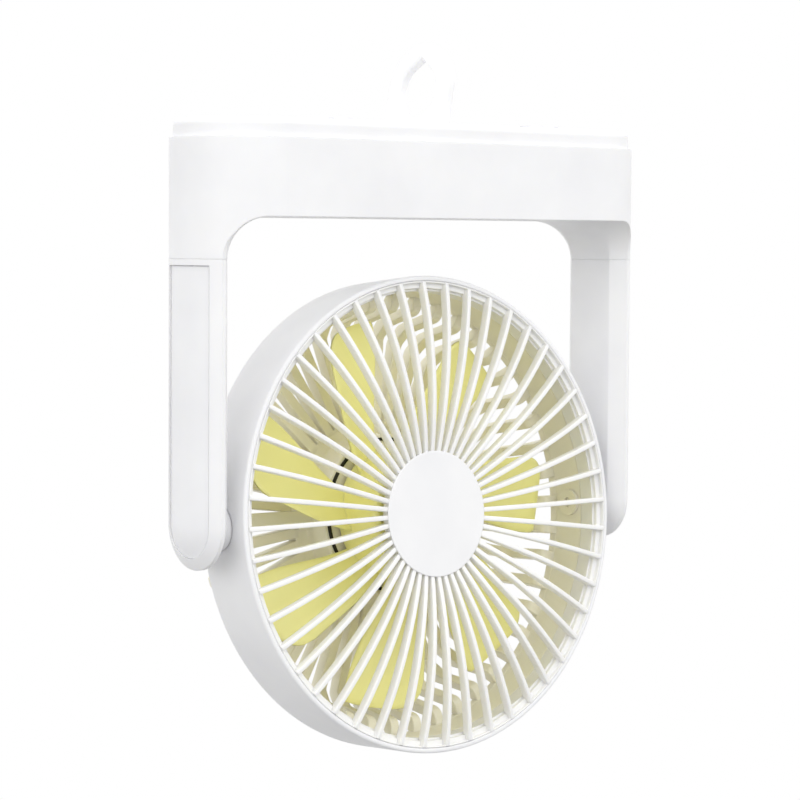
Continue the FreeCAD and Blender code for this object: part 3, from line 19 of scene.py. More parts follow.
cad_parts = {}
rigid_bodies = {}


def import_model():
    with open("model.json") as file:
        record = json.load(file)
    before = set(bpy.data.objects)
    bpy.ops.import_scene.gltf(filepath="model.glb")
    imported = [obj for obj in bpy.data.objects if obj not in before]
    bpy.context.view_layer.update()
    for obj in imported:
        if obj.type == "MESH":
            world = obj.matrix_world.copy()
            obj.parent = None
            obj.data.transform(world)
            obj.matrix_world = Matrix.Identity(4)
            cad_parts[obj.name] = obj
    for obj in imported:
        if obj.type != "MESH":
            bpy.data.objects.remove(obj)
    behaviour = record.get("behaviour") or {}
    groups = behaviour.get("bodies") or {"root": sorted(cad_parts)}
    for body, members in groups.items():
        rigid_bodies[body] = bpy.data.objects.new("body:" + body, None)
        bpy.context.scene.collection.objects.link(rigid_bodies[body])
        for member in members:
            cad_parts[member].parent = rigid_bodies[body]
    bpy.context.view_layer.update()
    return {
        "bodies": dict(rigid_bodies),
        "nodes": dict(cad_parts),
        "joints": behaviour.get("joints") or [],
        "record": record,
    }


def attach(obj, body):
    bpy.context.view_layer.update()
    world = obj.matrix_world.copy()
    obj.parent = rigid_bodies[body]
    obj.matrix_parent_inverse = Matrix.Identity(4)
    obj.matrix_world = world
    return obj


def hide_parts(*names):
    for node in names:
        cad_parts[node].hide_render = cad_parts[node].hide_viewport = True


LOG = logging.getLogger("camping_fan")
Point = tuple[float, float]
Colour = tuple[float, float, float]
Socket = bpy.types.NodeSocket

RIM_SEGMENTS = 288
HUB_SEGMENTS = 200
HUB_PLATE_SEGMENTS = 160
WAVES = 0.314  # a wave texture's scale, times the length of one wave


class Body(Enum):
    """The bodies that new pieces ride on."""

    HEAD = "head"
    IMPELLER = "impeller"


class Grain(Enum):
    """How fine a moulded surface is, as bumps to the metre."""

    SATIN = 2600.0
    SPARK = 1500.0
    POLISHED = 700.0


def linear(level: float) -> float:
    """Turns one written colour level into the light level that a shader wants."""
    return level / 12.92 if level <= 0.04045 else ((level + 0.055) / 1.055) ** 2.4


def paint_of(red: float, green: float, blue: float) -> tuple[float, float, float, float]:
    """Turns a written colour into a shader's colour."""
    return (linear(red), linear(green), linear(blue), 1.0)


def shifted(colour: Colour, share: float = 1.0, lift: float = 0.0) -> tuple[float, float, float, float]:
    """Gives a shader's colour from a written one, scaled and then lifted, no further than white."""
    red, green, blue = (min(level * share + lift, 1.0) for level in colour)
    return paint_of(red, green, blue)


class NodeTree:
    """Adds nodes to a tree and joins them."""

    def __init__(self, tree: bpy.types.NodeTree) -> None:
        """Keeps the tree."""
        self.tree = tree

    def node(self, kind: str, **values: object) -> bpy.types.Node:
        """Adds a node and sets its properties.

        Args:
            kind: Blender's name for the node.
            values: Properties of the node by name.

        Returns:
            The new node.
        """
        made = self.tree.nodes.new(kind)
        for name, value in values.items():
            setattr(made, name, value)
        return made

    def link(self, source: Socket, target: Socket) -> None:
        """Joins an output to an input."""
        self.tree.links.new(source, target)

    def maths(self, operation: str, first: object, last: object) -> Socket:
        """Adds a sum whose two terms are sockets or numbers."""
        made = self.node("ShaderNodeMath", operation=operation)
        for place, term in enumerate((first, last)):
            if isinstance(term, (int, float)):
                made.inputs[place].default_value = term
            else:
                self.link(term, made.inputs[place])
        return made.outputs[0]


# ---- Finishes ----


class Bench(NodeTree):
    """Lays out the nodes of one material round its surface shader."""

    NOISE_BAND = (0.3, 0.7)

    def __init__(self, name: str) -> None:
        """Starts a material of the given name with an empty surface shader."""
        self.material = bpy.data.materials.new(name)
        self.material.use_nodes = True
        super().__init__(self.material.node_tree)
        self.surface = self.tree.nodes["Principled BSDF"]
        self.place = self.tree.nodes.new("ShaderNodeTexCoord").outputs["Object"]

    def feed(self, name: str, source: Socket) -> None:
        """Joins an output to one of the surface shader's inputs."""
        self.link(source, self.surface.inputs[name])

    def cloud(self, scale: float, detail: float = 2.0, stretch: Vector | None = None) -> Socket:
        """Adds a soft noise over the piece.

        Args:
            scale: Cells of noise to the metre.
            detail: Octaves of finer noise.
            stretch: Scales along the three axes, for ground or drawn surfaces.

        Returns:
            The noise's level.
        """
        noise = self.node("ShaderNodeTexNoise")
        noise.inputs["Scale"].default_value = scale
        noise.inputs["Detail"].default_value = detail
        source = self.place
        if stretch is not None:
            mapping = self.node("ShaderNodeMapping")
            mapping.inputs["Scale"].default_value = stretch
            self.link(self.place, mapping.inputs["Vector"])
            source = mapping.outputs["Vector"]
        self.link(source, noise.inputs["Vector"])
        return noise.outputs["Fac"]

    def between(self, level: Socket, low: float, high: float) -> Socket:
        """Maps a noise level from its usual middle band to a range."""
        span = self.node("ShaderNodeMapRange")
        span.inputs["From Min"].default_value, span.inputs["From Max"].default_value = self.NOISE_BAND
        span.inputs["To Min"].default_value = low
        span.inputs["To Max"].default_value = high
        self.link(level, span.inputs["Value"])
        return span.outputs["Result"]

    def blend(self, level: Socket, first: tuple, last: tuple) -> Socket:
        """Mixes two colours by a level."""
        mix = self.node("ShaderNodeMix", data_type="RGBA")
        mix.inputs[6].default_value = first
        mix.inputs[7].default_value = last
        self.link(level, mix.inputs["Factor"])
        return mix.outputs[2]

    def bump(self, level: Socket, strength: float, depth: float) -> None:
        """Raises the surface by a level, over any bump that is there already."""
        bump = self.node("ShaderNodeBump")
        bump.inputs["Strength"].default_value = strength
        bump.inputs["Distance"].default_value = depth
        self.link(level, bump.inputs["Height"])
        normal = self.surface.inputs["Normal"]
        if normal.is_linked:
            self.link(normal.links[0].from_socket, bump.inputs["Normal"])
        self.link(bump.outputs["Normal"], normal)

    def set(self, **values: float) -> None:
        """Sets plain values on the shader's own sockets, named with underscores for spaces."""
        for name, value in values.items():
            self.surface.inputs[name.replace("_", " ")].default_value = value


class Finish(Protocol):
    """Anything with a name that can build its material."""

    @property
    def name(self) -> str:
        """The material's name."""

    def make(self) -> bpy.types.Material:
        """Builds the material."""


@dataclass(frozen=True)
class Moulding:
    """A moulded plastic with a fine grain, slight flow marks and softly rounded edges with a painted
    highlight.

    Attributes:
        name: The material's name.
        colour: The plastic's written colour.
        roughness: How matt it is.
        grain: How fine its texture is.
        grain_depth: How deep the texture is.
        tint: How far flow marks darken it.
        coat: How much gloss lies over it.
        glow: How far light goes into it, as a share.
        edge: The radius that light sees on its sharp edges.
        sink: How deep its slow waves are.
    """

    name: str
    colour: Colour
    roughness: float = 0.42
    grain: Grain = Grain.SATIN
    grain_depth: float = 0.00003
    tint: float = 0.018
    coat: float = 0.0
    glow: float = 0.0
    edge: float = 0.0006
    sink: float = 0.00012

    def flowed(self, bench: Bench) -> Socket:
        """Tints the colour with the marks that the melt leaves."""
        flow = bench.between(bench.cloud(34.0, 3.0), 0.0, 1.0)
        red, green, blue = self.colour
        low = paint_of(red - self.tint, green - self.tint, blue - self.tint * 0.8)
        return bench.blend(flow, low, shifted(self.colour, lift=self.tint * 0.4))

    def soften_with_painted_highlight(self, bench: Bench, shade: Socket) -> None:
        """Softens the sharp edges and lightens their colour there as a painted edge highlight."""
        soft_edge = bench.node("ShaderNodeBevel", samples=6)
        soft_edge.inputs["Radius"].default_value = self.edge
        bench.feed("Normal", soft_edge.outputs["Normal"])
        turn = bench.node("ShaderNodeVectorMath", operation="DOT_PRODUCT")
        bench.link(soft_edge.outputs["Normal"], turn.inputs[0])
        bench.link(bench.node("ShaderNodeNewGeometry").outputs["Normal"], turn.inputs[1])
        painted_highlight = bench.node("ShaderNodeMapRange")
        for socket, value in (("From Min", 0.995), ("From Max", 0.85), ("To Max", 0.6)):
            painted_highlight.inputs[socket].default_value = value
        bench.link(turn.outputs["Value"], painted_highlight.inputs["Value"])
        # Painted highlight: the colour is lifted towards a lighter tint along the sharp edges.
        mix = bench.node("ShaderNodeMix", data_type="RGBA")
        mix.inputs[7].default_value = shifted(self.colour, lift=0.03)
        bench.link(painted_highlight.outputs["Result"], mix.inputs["Factor"])
        bench.link(shade, mix.inputs[6])
        bench.feed("Base Color", mix.outputs[2])

    def make(self) -> bpy.types.Material:
        """Builds the material."""
        bench = Bench(self.name)
        self.soften_with_painted_highlight(bench, self.flowed(bench))
        rough = bench.between(bench.cloud(120.0), self.roughness - 0.04, self.roughness + 0.05)
        bench.feed("Roughness", rough)
        bench.bump(bench.cloud(self.grain.value, 1.5), 0.35, self.grain_depth)
        bench.bump(bench.cloud(42.0, 1.0), 0.2, self.sink)
        bench.set(IOR=1.49, Coat_Weight=self.coat, Coat_Roughness=0.18)
        if self.glow:
            bench.set(Subsurface_Weight=self.glow, Subsurface_Scale=0.004)
            bench.surface.inputs["Subsurface Radius"].default_value = (1.0, 0.85, 0.45)
        return bench.material


@dataclass(frozen=True)
class GroundMetal:
    """A turned, ground or plated metal with fine lines and small stains."""

    name: str
    colour: Colour
    roughness: float = 0.3
    stretch: tuple[float, float, float] = (1.0, 1.0, 18.0)

    def make(self) -> bpy.types.Material:
        """Builds the material."""
        bench = Bench(self.name)
        stain = bench.between(bench.cloud(140.0, 3.0), 0.0, 1.0)
        shade = bench.blend(stain, shifted(self.colour, 0.9), paint_of(*self.colour))
        bench.feed("Base Color", shade)
        lines = bench.cloud(900.0, 2.0, Vector(self.stretch))
        bench.feed("Roughness", bench.between(lines, self.roughness - 0.08, self.roughness + 0.12))
        bench.bump(lines, 0.25, 0.00002)
        bench.set(Metallic=1.0)
        return bench.material


@dataclass(frozen=True)
class SoftRubber:
    """A matt rubber with a bloom of fine dust."""

    name: str
    colour: Colour
    roughness: float = 0.75

    def make(self) -> bpy.types.Material:
        """Builds the material."""
        bench = Bench(self.name)
        bloom = bench.between(bench.cloud(210.0, 4.0), 0.0, 1.0)
        shade = bench.blend(bloom, paint_of(*self.colour), shifted(self.colour, 1.12, 0.015))
        bench.feed("Base Color", shade)
        rough = bench.between(bench.cloud(90.0), self.roughness - 0.06, self.roughness + 0.08)
        bench.feed("Roughness", rough)
        bench.bump(bench.cloud(1900.0, 2.0), 0.4, 0.00004)
        return bench.material


@dataclass(frozen=True)
class PrintedBoard:
    """A circuit board: green mask over copper tracks with small pads."""

    name: str

    def make(self) -> bpy.types.Material:
        """Builds the material."""
        bench = Bench(self.name)
        cells = bench.node("ShaderNodeTexVoronoi", feature="DISTANCE_TO_EDGE")
        cells.inputs["Scale"].default_value = 420.0
        bench.link(bench.place, cells.inputs["Vector"])
        track = bench.node("ShaderNodeMapRange")
        track.inputs["From Min"].default_value = 0.08
        track.inputs["From Max"].default_value = 0.12
        bench.link(cells.outputs["Distance"], track.inputs["Value"])
        mask, copper = paint_of(0.05, 0.24, 0.13), paint_of(0.10, 0.36, 0.20)
        shade = bench.blend(track.outputs["Result"], copper, mask)
        bench.feed("Base Color", shade)
        bench.bump(track.outputs["Result"], 0.4, 0.00003)
        bench.set(Roughness=0.3, Coat_Weight=0.4, Coat_Roughness=0.15)
        return bench.material


@dataclass(frozen=True)
class WoundCopper:
    """Enamelled copper wire laid side by side, with painted shade in the grooves between turns and a
    painted highlight on their crowns.
    """

    name: str
    wire: float = 0.00045

    def make(self) -> bpy.types.Material:
        """Builds the material."""
        bench = Bench(self.name)
        wave = bench.node("ShaderNodeTexWave", bands_direction="Y", wave_profile="SIN")
        wave.inputs["Scale"].default_value = WAVES / self.wire
        wave.inputs["Distortion"].default_value = 0.6
        bench.link(bench.place, wave.inputs["Vector"])
        # Dark copper in the wave's troughs is painted shade between the turns; light copper on its
        # crests is a painted highlight.
        shade = bench.blend(wave.outputs["Fac"], paint_of(0.42, 0.17, 0.07), paint_of(0.82, 0.45, 0.24))
        bench.feed("Base Color", shade)
        bench.bump(wave.outputs["Fac"], 0.7, 0.0001)
        bench.set(Metallic=0.85, Roughness=0.28, Coat_Weight=0.5, Coat_Roughness=0.1)
        return bench.material


@dataclass(frozen=True)
class ClearGuide:
    """A clear or milky moulded light guide."""

    name: str
    colour: Colour
    clearness: float = 0.85

    def make(self) -> bpy.types.Material:
        """Builds the material."""
        bench = Bench(self.name)
        red, green, blue = self.colour
        haze = bench.between(bench.cloud(260.0, 2.0), 0.0, 1.0)
        shade = bench.blend(haze, paint_of(red, green, blue), paint_of(red * 0.97, green * 0.97, blue))
        bench.feed("Base Color", shade)
        bench.bump(bench.cloud(1200.0), 0.15, 0.00003)
        bench.set(Roughness=0.12, Transmission_Weight=self.clearness, IOR=1.49)
        return bench.material


@dataclass(frozen=True)
class Laminate:
    """Dark stacked steel sheets, edge on, or bonded ferrite."""

    name: str
    colour: Colour
    sheet: float = 0.0005
    metallic: float = 0.8

    def make(self) -> bpy.types.Material:
        """Builds the material."""
        bench = Bench(self.name)
        wave = bench.node("ShaderNodeTexWave", bands_direction="Y", wave_profile="SAW")
        wave.inputs["Scale"].default_value = WAVES / self.sheet
        bench.link(bench.place, wave.inputs["Vector"])
        shade = bench.blend(wave.outputs["Fac"], shifted(self.colour, 0.8), paint_of(*self.colour))
        bench.feed("Base Color", shade)
        bench.bump(wave.outputs["Fac"], 0.3, 0.00004)
        bench.feed("Roughness", bench.between(bench.cloud(300.0), 0.34, 0.5))
        bench.set(Metallic=self.metallic)
        return bench.material


SHELL = Moulding("shell_white_moulding", (0.948, 0.948, 0.950), roughness=0.40, glow=0.06)
PANEL = Moulding("panel_white_moulding", (0.945, 0.945, 0.948), roughness=0.44, grain=Grain.SPARK,
                 glow=0.06)
GRILLE = Moulding("grille_white_moulding", (0.962, 0.960, 0.950), roughness=0.36,
                  grain_depth=0.00001, glow=0.10, edge=0.0004, sink=0.00003)
GUARD = Moulding("guard_cream_moulding", (0.970, 0.955, 0.880), roughness=0.42,
                 grain_depth=0.00001, glow=0.10, edge=0.0004, sink=0.00004)
DISC = Moulding("disc_white_moulding", (0.942, 0.942, 0.945), roughness=0.38)
LEMON = Moulding("blade_lemon_moulding", (0.995, 0.975, 0.640), roughness=0.34,
                 grain_depth=0.00001, tint=0.012, glow=0.15, coat=0.10, sink=0.00002)
FEET = SoftRubber("foot_pale_rubber", (0.83, 0.83, 0.845), 0.62)
BLACK_RUBBER = SoftRubber("black_rubber", (0.035, 0.035, 0.035))
GASKET = SoftRubber("gasket_dark_rubber", (0.13, 0.125, 0.085))
BLACK_PLASTIC = Moulding("black_switch_moulding", (0.06, 0.06, 0.065), roughness=0.5)
CRADLE = Moulding("cradle_grey_moulding", (0.55, 0.56, 0.58), roughness=0.5)
SLEEVE = Moulding("cell_blue_sleeve", (0.12, 0.34, 0.64), roughness=0.22, grain=Grain.POLISHED,
                  coat=0.4)
BUTTON = Moulding("button_white_moulding", (0.90, 0.90, 0.915), roughness=0.36)
STEEL = GroundMetal("ground_steel", (0.76, 0.77, 0.79))
NICKEL = GroundMetal("nickel_plate", (0.80, 0.78, 0.73), 0.22)
BOARD = PrintedBoard("green_board")
COPPER = WoundCopper("wound_copper")
CORE = Laminate("core_laminate", (0.34, 0.35, 0.37))
MAGNET = Laminate("bonded_magnet", (0.16, 0.16, 0.17), metallic=0.1)
LENS = ClearGuide("clear_light_guide", (0.93, 0.96, 0.98))

NODE_FINISH: dict[str, Finish] = {
    "base_body": SHELL, "base_cap": SHELL, "feet": FEET, "cap_screws": STEEL, "loop_pin": STEEL,
    "battery_cells": SLEEVE, "battery_cradle": CRADLE, "battery_contacts": NICKEL,
    "control_board": BOARD, "board_screws": STEEL, "tact_switch": BLACK_PLASTIC, "usb_port": NICKEL,
    "indicator_lens": LENS, "left_arm": SHELL, "right_arm": SHELL, "left_arm_cover": PANEL,
    "right_arm_cover": PANEL, "arm_screws": STEEL, "pivot_washers": BLACK_RUBBER,
    "arm_lead": BLACK_RUBBER, "fan_button": BUTTON, "hanging_loop": SHELL,
    "fan_drum": SHELL, "front_grille": GRILLE, "hub_cap": DISC, "rear_guard": GUARD,
    "motor_cover": SHELL, "lead_cover": GUARD,
    "left_pivot_boss": SHELL, "right_pivot_boss": SHELL, "left_axle": GUARD, "right_axle": GUARD,
    "axle_clips": STEEL, "head_lead": BLACK_RUBBER, "stator_core": CORE, "stator_coils": COPPER,
    "motor_board": BOARD, "motor_gasket": GASKET, "shaft_bearings": STEEL, "impeller": LEMON,
    "rotor_cup": CORE, "magnet_ring": MAGNET, "motor_shaft": STEEL, "shaft_clip": STEEL,
}


class Palette:
    """Makes each finish's material once."""

    def __init__(self) -> None:
        """Starts with no materials made."""
        self.made: dict[str, bpy.types.Material] = {}

    def of(self, finish: Finish) -> bpy.types.Material:
        """Returns the material of a finish."""
        if finish.name not in self.made:
            self.made[finish.name] = finish.make()
        return self.made[finish.name]


# ---- Meshes ----


@dataclass(frozen=True)
class HeadSpace:
    """Where the head's axis stands, in the fan's frame."""

    pivot: tuple[float, float, float] = (-6.6213, 0.0, -172.6159)
    tilt: float = 4.5

    def matrix(self) -> Matrix:
        """Gives the move from the head's millimetres to the fan's metres."""
        turn = math.radians(self.tilt)
        sine, cosine = math.sin(turn), math.cos(turn)
        rows = ((1, 0, 0, self.pivot[0]), (0, sine, -cosine, self.pivot[1]),
                (0, cosine, sine, self.pivot[2]), (0, 0, 0, 1000.0))
        return Matrix([[value / 1000.0 for value in row] for row in rows])


HEAD = HeadSpace()


def rounded(corners: list[tuple[float, float, float]], steps: int = 5) -> list[Point]:
    """Rounds the corners of a closed outline.

    Args:
        corners: Points as (across, along, radius of the round).
        steps: Parts that each round is made of.

    Returns:
        The outline's points.
    """
    out: list[Point] = []
    count = len(corners)
    for number, (x, y, radius) in enumerate(corners):
        if radius <= 0:
            out.append((x, y))
            continue
        here = Vector((x, y))
        back = Vector(corners[number - 1][:2]) - here
        onward = Vector(corners[(number + 1) % count][:2]) - here
        half = back.angle(onward) / 2
        reach = min(radius / math.tan(half), back.length * 0.49, onward.length * 0.49)
        bend = reach * math.tan(half)
        back.normalize()
        onward.normalize()
        centre = here + (back + onward).normalized() * (bend / math.sin(half))
        first, last = here + back * reach - centre, here + onward * reach - centre
        turn = first.angle_signed(last)
        for step in range(steps + 1):
            spin = -turn * step / steps
            c, s = math.cos(spin), math.sin(spin)
            out.append((centre.x + first.x * c - first.y * s, centre.y + first.x * s + first.y * c))
    return out


def arc_points(first: Point, via: Point, last: Point, steps: int) -> list[Point]:
    """Gives points along the arc through three points."""
    (ax, ay), (bx, by), (cx, cy) = first, via, last
    a, b, c = ax * ax + ay * ay, bx * bx + by * by, cx * cx + cy * cy
    d = 2 * (ax * (by - cy) + bx * (cy - ay) + cx * (ay - by))
    ux = (a * (by - cy) + b * (cy - ay) + c * (ay - by)) / d
    uy = (a * (cx - bx) + b * (ax - cx) + c * (bx - ax)) / d
    radius = math.hypot(ax - ux, ay - uy)
    start, end = math.atan2(ay - uy, ax - ux), math.atan2(cy - uy, cx - ux)
    sweep = (end - start + math.pi) % (2 * math.pi) - math.pi
    turns = [start + sweep * step / steps for step in range(steps + 1)]
    return [(ux + radius * math.cos(turn), uy + radius * math.sin(turn)) for turn in turns]


def tidy(mesh: bpy.types.Mesh, sharp: float) -> None:
    """Merges doubles, turns the faces outwards and smooths all but the sharp edges."""
    work = bmesh.new()
    work.from_mesh(mesh)
    bmesh.ops.remove_doubles(work, verts=work.verts, dist=1e-6)
    bmesh.ops.recalc_face_normals(work, faces=work.faces)
    work.to_mesh(mesh)
    work.free()
    mesh.shade_smooth()
    mesh.set_sharp_from_angle(angle=math.radians(sharp))


def closed(work: bmesh.types.BMesh, name: str) -> bpy.types.Mesh:
    """Ends the work on a mesh and gives it its name."""
    mesh = bpy.data.meshes.new(name)
    work.to_mesh(mesh)
    work.free()
    return mesh


def band(work: bmesh.types.BMesh, ring: list, after: list) -> None:
    """Joins two closed rings of as many points with faces."""
    for k in range(len(ring)):
        n = (k + 1) % len(ring)
        work.faces.new((ring[k], ring[n], after[n], after[k]))


def lathe(name: str, outline: list[Point], segments: int) -> bpy.types.Mesh:
    """Turns a closed outline of (radius, height) points about the Z axis.

    Args:
        name: The mesh's name.
        outline: The outline's points, in order.
        segments: Parts of the full turn.

    Returns:
        The turned mesh, in the outline's own lengths.
    """
    work = bmesh.new()
    rings: list[list[bmesh.types.BMVert]] = []
    for radius, height in outline:
        if radius < 1e-6:
            rings.append([work.verts.new((0.0, 0.0, height))])
            continue
        turns = [2 * math.pi * k / segments for k in range(segments)]
        rings.append([work.verts.new((radius * math.cos(turn), radius * math.sin(turn), height))
                      for turn in turns])
    for number, ring in enumerate(rings):
        after = rings[(number + 1) % len(rings)]
        if len(ring) == 1 and len(after) == 1:
            continue
        if len(ring) == len(after):
            band(work, ring, after)
            continue
        centre, rim = (ring[0], after) if len(ring) == 1 else (after[0], ring)
        for k in range(segments):
            work.faces.new((centre, rim[k], rim[(k + 1) % segments]))
    return closed(work, name)


def turned(name: str, corners: list[tuple[float, float, float]], segments: int,
           steps: int = 5) -> bpy.types.Mesh:
    """Turns an outline of corners with their rounds about the Z axis."""
    return lathe(name, rounded(corners, steps), segments)


def merged(name: str, *meshes: bpy.types.Mesh) -> bpy.types.Mesh:
    """Puts several meshes in one."""
    work = bmesh.new()
    for mesh in meshes:
        work.from_mesh(mesh)
    return closed(work, name)


def inward_of(outline: list[Point]) -> list[Vector]:
    """Gives the direction into a closed outline at each of its points."""
    count = len(outline)
    corners = [Vector(point) for point in outline]
    turning = sum(corners[k - 1].cross(corners[k]) for k in range(count))
    sign = 1.0 if turning > 0 else -1.0
    inward = []
    for k, here in enumerate(corners):
        side = (corners[(k + 1) % count] - here).normalized() - (corners[k - 1] - here).normalized()
        inward.append(Vector((-side.y, side.x)).normalized() * sign)
    return inward


def slab(name: str, outline: list[Point], width: float, cut: float) -> bpy.types.Mesh:
    """Gives a closed outline of (radius, height) a width across, with its long edges cut back.

    Args:
        name: The mesh's name.
        outline: The outline's points, in order.
        width: How wide the slab is, across the outline.
        cut: How far its long edges are cut back.

    Returns:
        The slab, in the outline's own lengths, standing in the XZ plane.
    """
    work = bmesh.new()
    inward = inward_of(outline)
    half = width / 2
    rings = []
    for side, back in ((-half, cut), (cut - half, 0.0), (half - cut, 0.0), (half, cut)):
        rings.append([work.verts.new((x + inward[k].x * back, side, z + inward[k].y * back))
                      for k, (x, z) in enumerate(outline)])
    for ring, after in zip(rings, rings[1:]):
        band(work, ring, after)
    work.faces.new(rings[0])
    work.faces.new(rings[-1])
    return closed(work, name)


class NodeRecipe(NodeTree):
    """A geometry tree built in code, with inputs found by name when it is used."""

    def __init__(self, name: str) -> None:
        """Starts a tree with geometry in and out."""
        super().__init__(bpy.data.node_groups.new(name, "GeometryNodeTree"))
        self.sockets: dict[str, str] = {}
        self.add_input("Geometry", "NodeSocketGeometry")
        self.tree.interface.new_socket(name="Geometry", in_out="OUTPUT",
                                       socket_type="NodeSocketGeometry")
        self.start = self.tree.nodes.new("NodeGroupInput")
        self.end = self.tree.nodes.new("NodeGroupOutput")

    def add_input(self, name: str, kind: str) -> None:
        """Adds a named input to the tree."""
        socket = self.tree.interface.new_socket(name=name, in_out="INPUT", socket_type=kind)
        self.sockets[name] = socket.identifier

    def add_ring_inputs(self) -> None:
        """Adds the inputs of a shape copied round the axis: how many, from where, how far apart."""
        self.add_input("Count", "NodeSocketInt")
        self.add_input("First", "NodeSocketFloat")
        self.add_input("Step", "NodeSocketFloat")
        self.add_input("Material", "NodeSocketMaterial")

    def close(self, shape: Socket) -> None:
        """Ends the tree: instances made real, then the material."""
        real = self.node("GeometryNodeRealizeInstances")
        self.link(shape, real.inputs["Geometry"])
        paint = self.node("GeometryNodeSetMaterial")
        self.link(real.outputs["Geometry"], paint.inputs["Geometry"])
        self.link(self.start.outputs["Material"], paint.inputs["Material"])
        self.link(paint.outputs["Geometry"], self.end.inputs["Geometry"])

    def ring(self, shape: Socket) -> Socket:
        """Copies a shape round the Z axis by the tree's Count, First and Step."""
        points = self.node("GeometryNodePoints")
        self.link(self.start.outputs["Count"], points.inputs["Count"])
        index = self.node("GeometryNodeInputIndex").outputs[0]
        passed = self.maths("MULTIPLY", index, self.start.outputs["Step"])
        turn = self.maths("ADD", passed, self.start.outputs["First"])
        vector = self.node("ShaderNodeCombineXYZ")
        self.link(turn, vector.inputs["Z"])
        spin = self.node("FunctionNodeEulerToRotation")
        self.link(vector.outputs[0], spin.inputs[0])
        copies = self.node("GeometryNodeInstanceOnPoints")
        self.link(points.outputs[0], copies.inputs["Points"])
        self.link(shape, copies.inputs["Instance"])
        self.link(spin.outputs[0], copies.inputs["Rotation"])
        return copies.outputs["Instances"]

    def run(self, name: str, mesh: bpy.types.Mesh, **values: object) -> bpy.types.Mesh:
        """Runs the tree over a mesh.

        Args:
            name: The result's name.
            mesh: The tree's geometry.
            values: The tree's inputs by name.

        Returns:
            The result as a plain mesh.
        """
        holder = bpy.data.objects.new(name + "_holder", mesh)
        bpy.context.scene.collection.objects.link(holder)
        step = holder.modifiers.new("Recipe", "NODES")
        step.node_group = self.tree
        for socket, value in values.items():
            step[self.sockets[socket]] = value
        graph = bpy.context.evaluated_depsgraph_get()
        result = bpy.data.meshes.new_from_object(holder.evaluated_get(graph))
        result.name = name
        bpy.data.objects.remove(holder)
        return result


def swept_ring() -> NodeRecipe:
    """Makes the recipe of bars swept along a path and set round the axis.

    Its inputs are the ring's, and the bars' width, depth and the round of their long edges.
    """
    recipe = NodeRecipe("Swept bars")
    recipe.add_ring_inputs()
    for name in ("Width", "Depth", "Round"):
        recipe.add_input(name, "NodeSocketFloat")
    path = recipe.node("GeometryNodeMeshToCurve")
    recipe.link(recipe.start.outputs["Geometry"], path.inputs["Mesh"])
    upright = recipe.node("GeometryNodeSetCurveNormal")
    upright.mode = "Z_UP"
    recipe.link(path.outputs["Curve"], upright.inputs["Curve"])
    section = recipe.node("GeometryNodeCurvePrimitiveQuadrilateral")
    recipe.link(recipe.start.outputs["Width"], section.inputs["Width"])
    recipe.link(recipe.start.outputs["Depth"], section.inputs["Height"])
    soft = recipe.node("GeometryNodeFilletCurve")
    soft.mode = "POLY"
    soft.inputs["Count"].default_value = 4
    recipe.link(section.outputs["Curve"], soft.inputs["Curve"])
    recipe.link(recipe.start.outputs["Round"], soft.inputs["Radius"])
    bar = recipe.node("GeometryNodeCurveToMesh")
    bar.inputs["Fill Caps"].default_value = True
    recipe.link(upright.outputs["Curve"], bar.inputs["Curve"])
    recipe.link(soft.outputs["Curve"], bar.inputs["Profile Curve"])
    recipe.close(recipe.ring(bar.outputs["Mesh"]))
    return recipe


def copied_ring() -> NodeRecipe:
    """Makes the recipe of copies of one shape set round the axis."""
    recipe = NodeRecipe("Round copies")
    recipe.add_ring_inputs()
    recipe.close(recipe.ring(recipe.start.outputs["Geometry"]))
    return recipe


def path_mesh(name: str, points: list[tuple[float, float, float]]) -> bpy.types.Mesh:
    """Makes a mesh that is one open line of edges."""
    mesh = bpy.data.meshes.new(name)
    mesh.from_pydata(points, [(k, k + 1) for k in range(len(points) - 1)], [])
    return mesh


class Workshop:
    """Places finished meshes in the scene, dressed and riding on their bodies."""

    def __init__(self, frame: dict) -> None:
        """Keeps the frame and makes the shared recipes."""
        self.nodes = frame["nodes"]
        self.slots = {part["node"]: part["material_slot"] for part in frame["record"]["subparts"]}
        self.palette = Palette()
        self.bars = swept_ring()
        self.copies = copied_ring()
        self.replaced: set[str] = set()

    def place(self, mesh: bpy.types.Mesh, body: Body, stands_for: str, finish: Finish,
              sharp: float = 34.0) -> None:
        """Puts a mesh in the scene as a piece of the fan, under the mesh's name.

        Args:
            mesh: The mesh, in the head's millimetres.
            body: The body that it rides on.
            stands_for: The frame's node that it replaces, which it hides.
            finish: Its finish.
            sharp: The angle above which an edge stays sharp, in degrees.
        """
        mesh.transform(HEAD.matrix())
        tidy(mesh, sharp)
        mesh.materials.clear()
        mesh.materials.append(self.palette.of(finish))
        piece = bpy.data.objects.new(mesh.name, mesh)
        bpy.context.scene.collection.objects.link(piece)
        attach(piece, body.value)
        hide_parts(stands_for)
        self.replaced.add(stands_for)
        LOG.info("%-22s %6d faces on %s", mesh.name, len(mesh.polygons), body.value)

    def dress_nodes(self) -> None:
        """Gives every node that still shows its finish."""
        for name, node in self.nodes.items():
            if name in self.replaced:
                continue
            node.data.materials.clear()
            node.data.materials.append(self.palette.of(NODE_FINISH[name]))
        LOG.info("%d nodes keep their shape", len(self.nodes) - len(self.replaced))


# ---- Head ----


@dataclass
class Drum:
    """The round shell between the arms."""

    radius: float = 90.0
    rear_radius: float = 89.2
    bore: float = 86.2
    front: float = 15.8
    rear: float = 11.5
    seat: float = 88.1
    seat_depth: float = 3.2

    def build(self, shop: Workshop) -> None:
        """Builds and places the shell."""
        floor = self.front - self.seat_depth
        shell = turned("fan_drum_shell", [
            (self.bore, -self.rear, 0.3), (self.rear_radius, -self.rear, 1.4),
            (self.radius, self.front, 1.3), (self.seat, self.front, 0.35),
            (self.seat, floor, 0.0), (self.bore, floor, 0.3)], RIM_SEGMENTS)
        shop.place(shell, Body.HEAD, "fan_drum", SHELL)


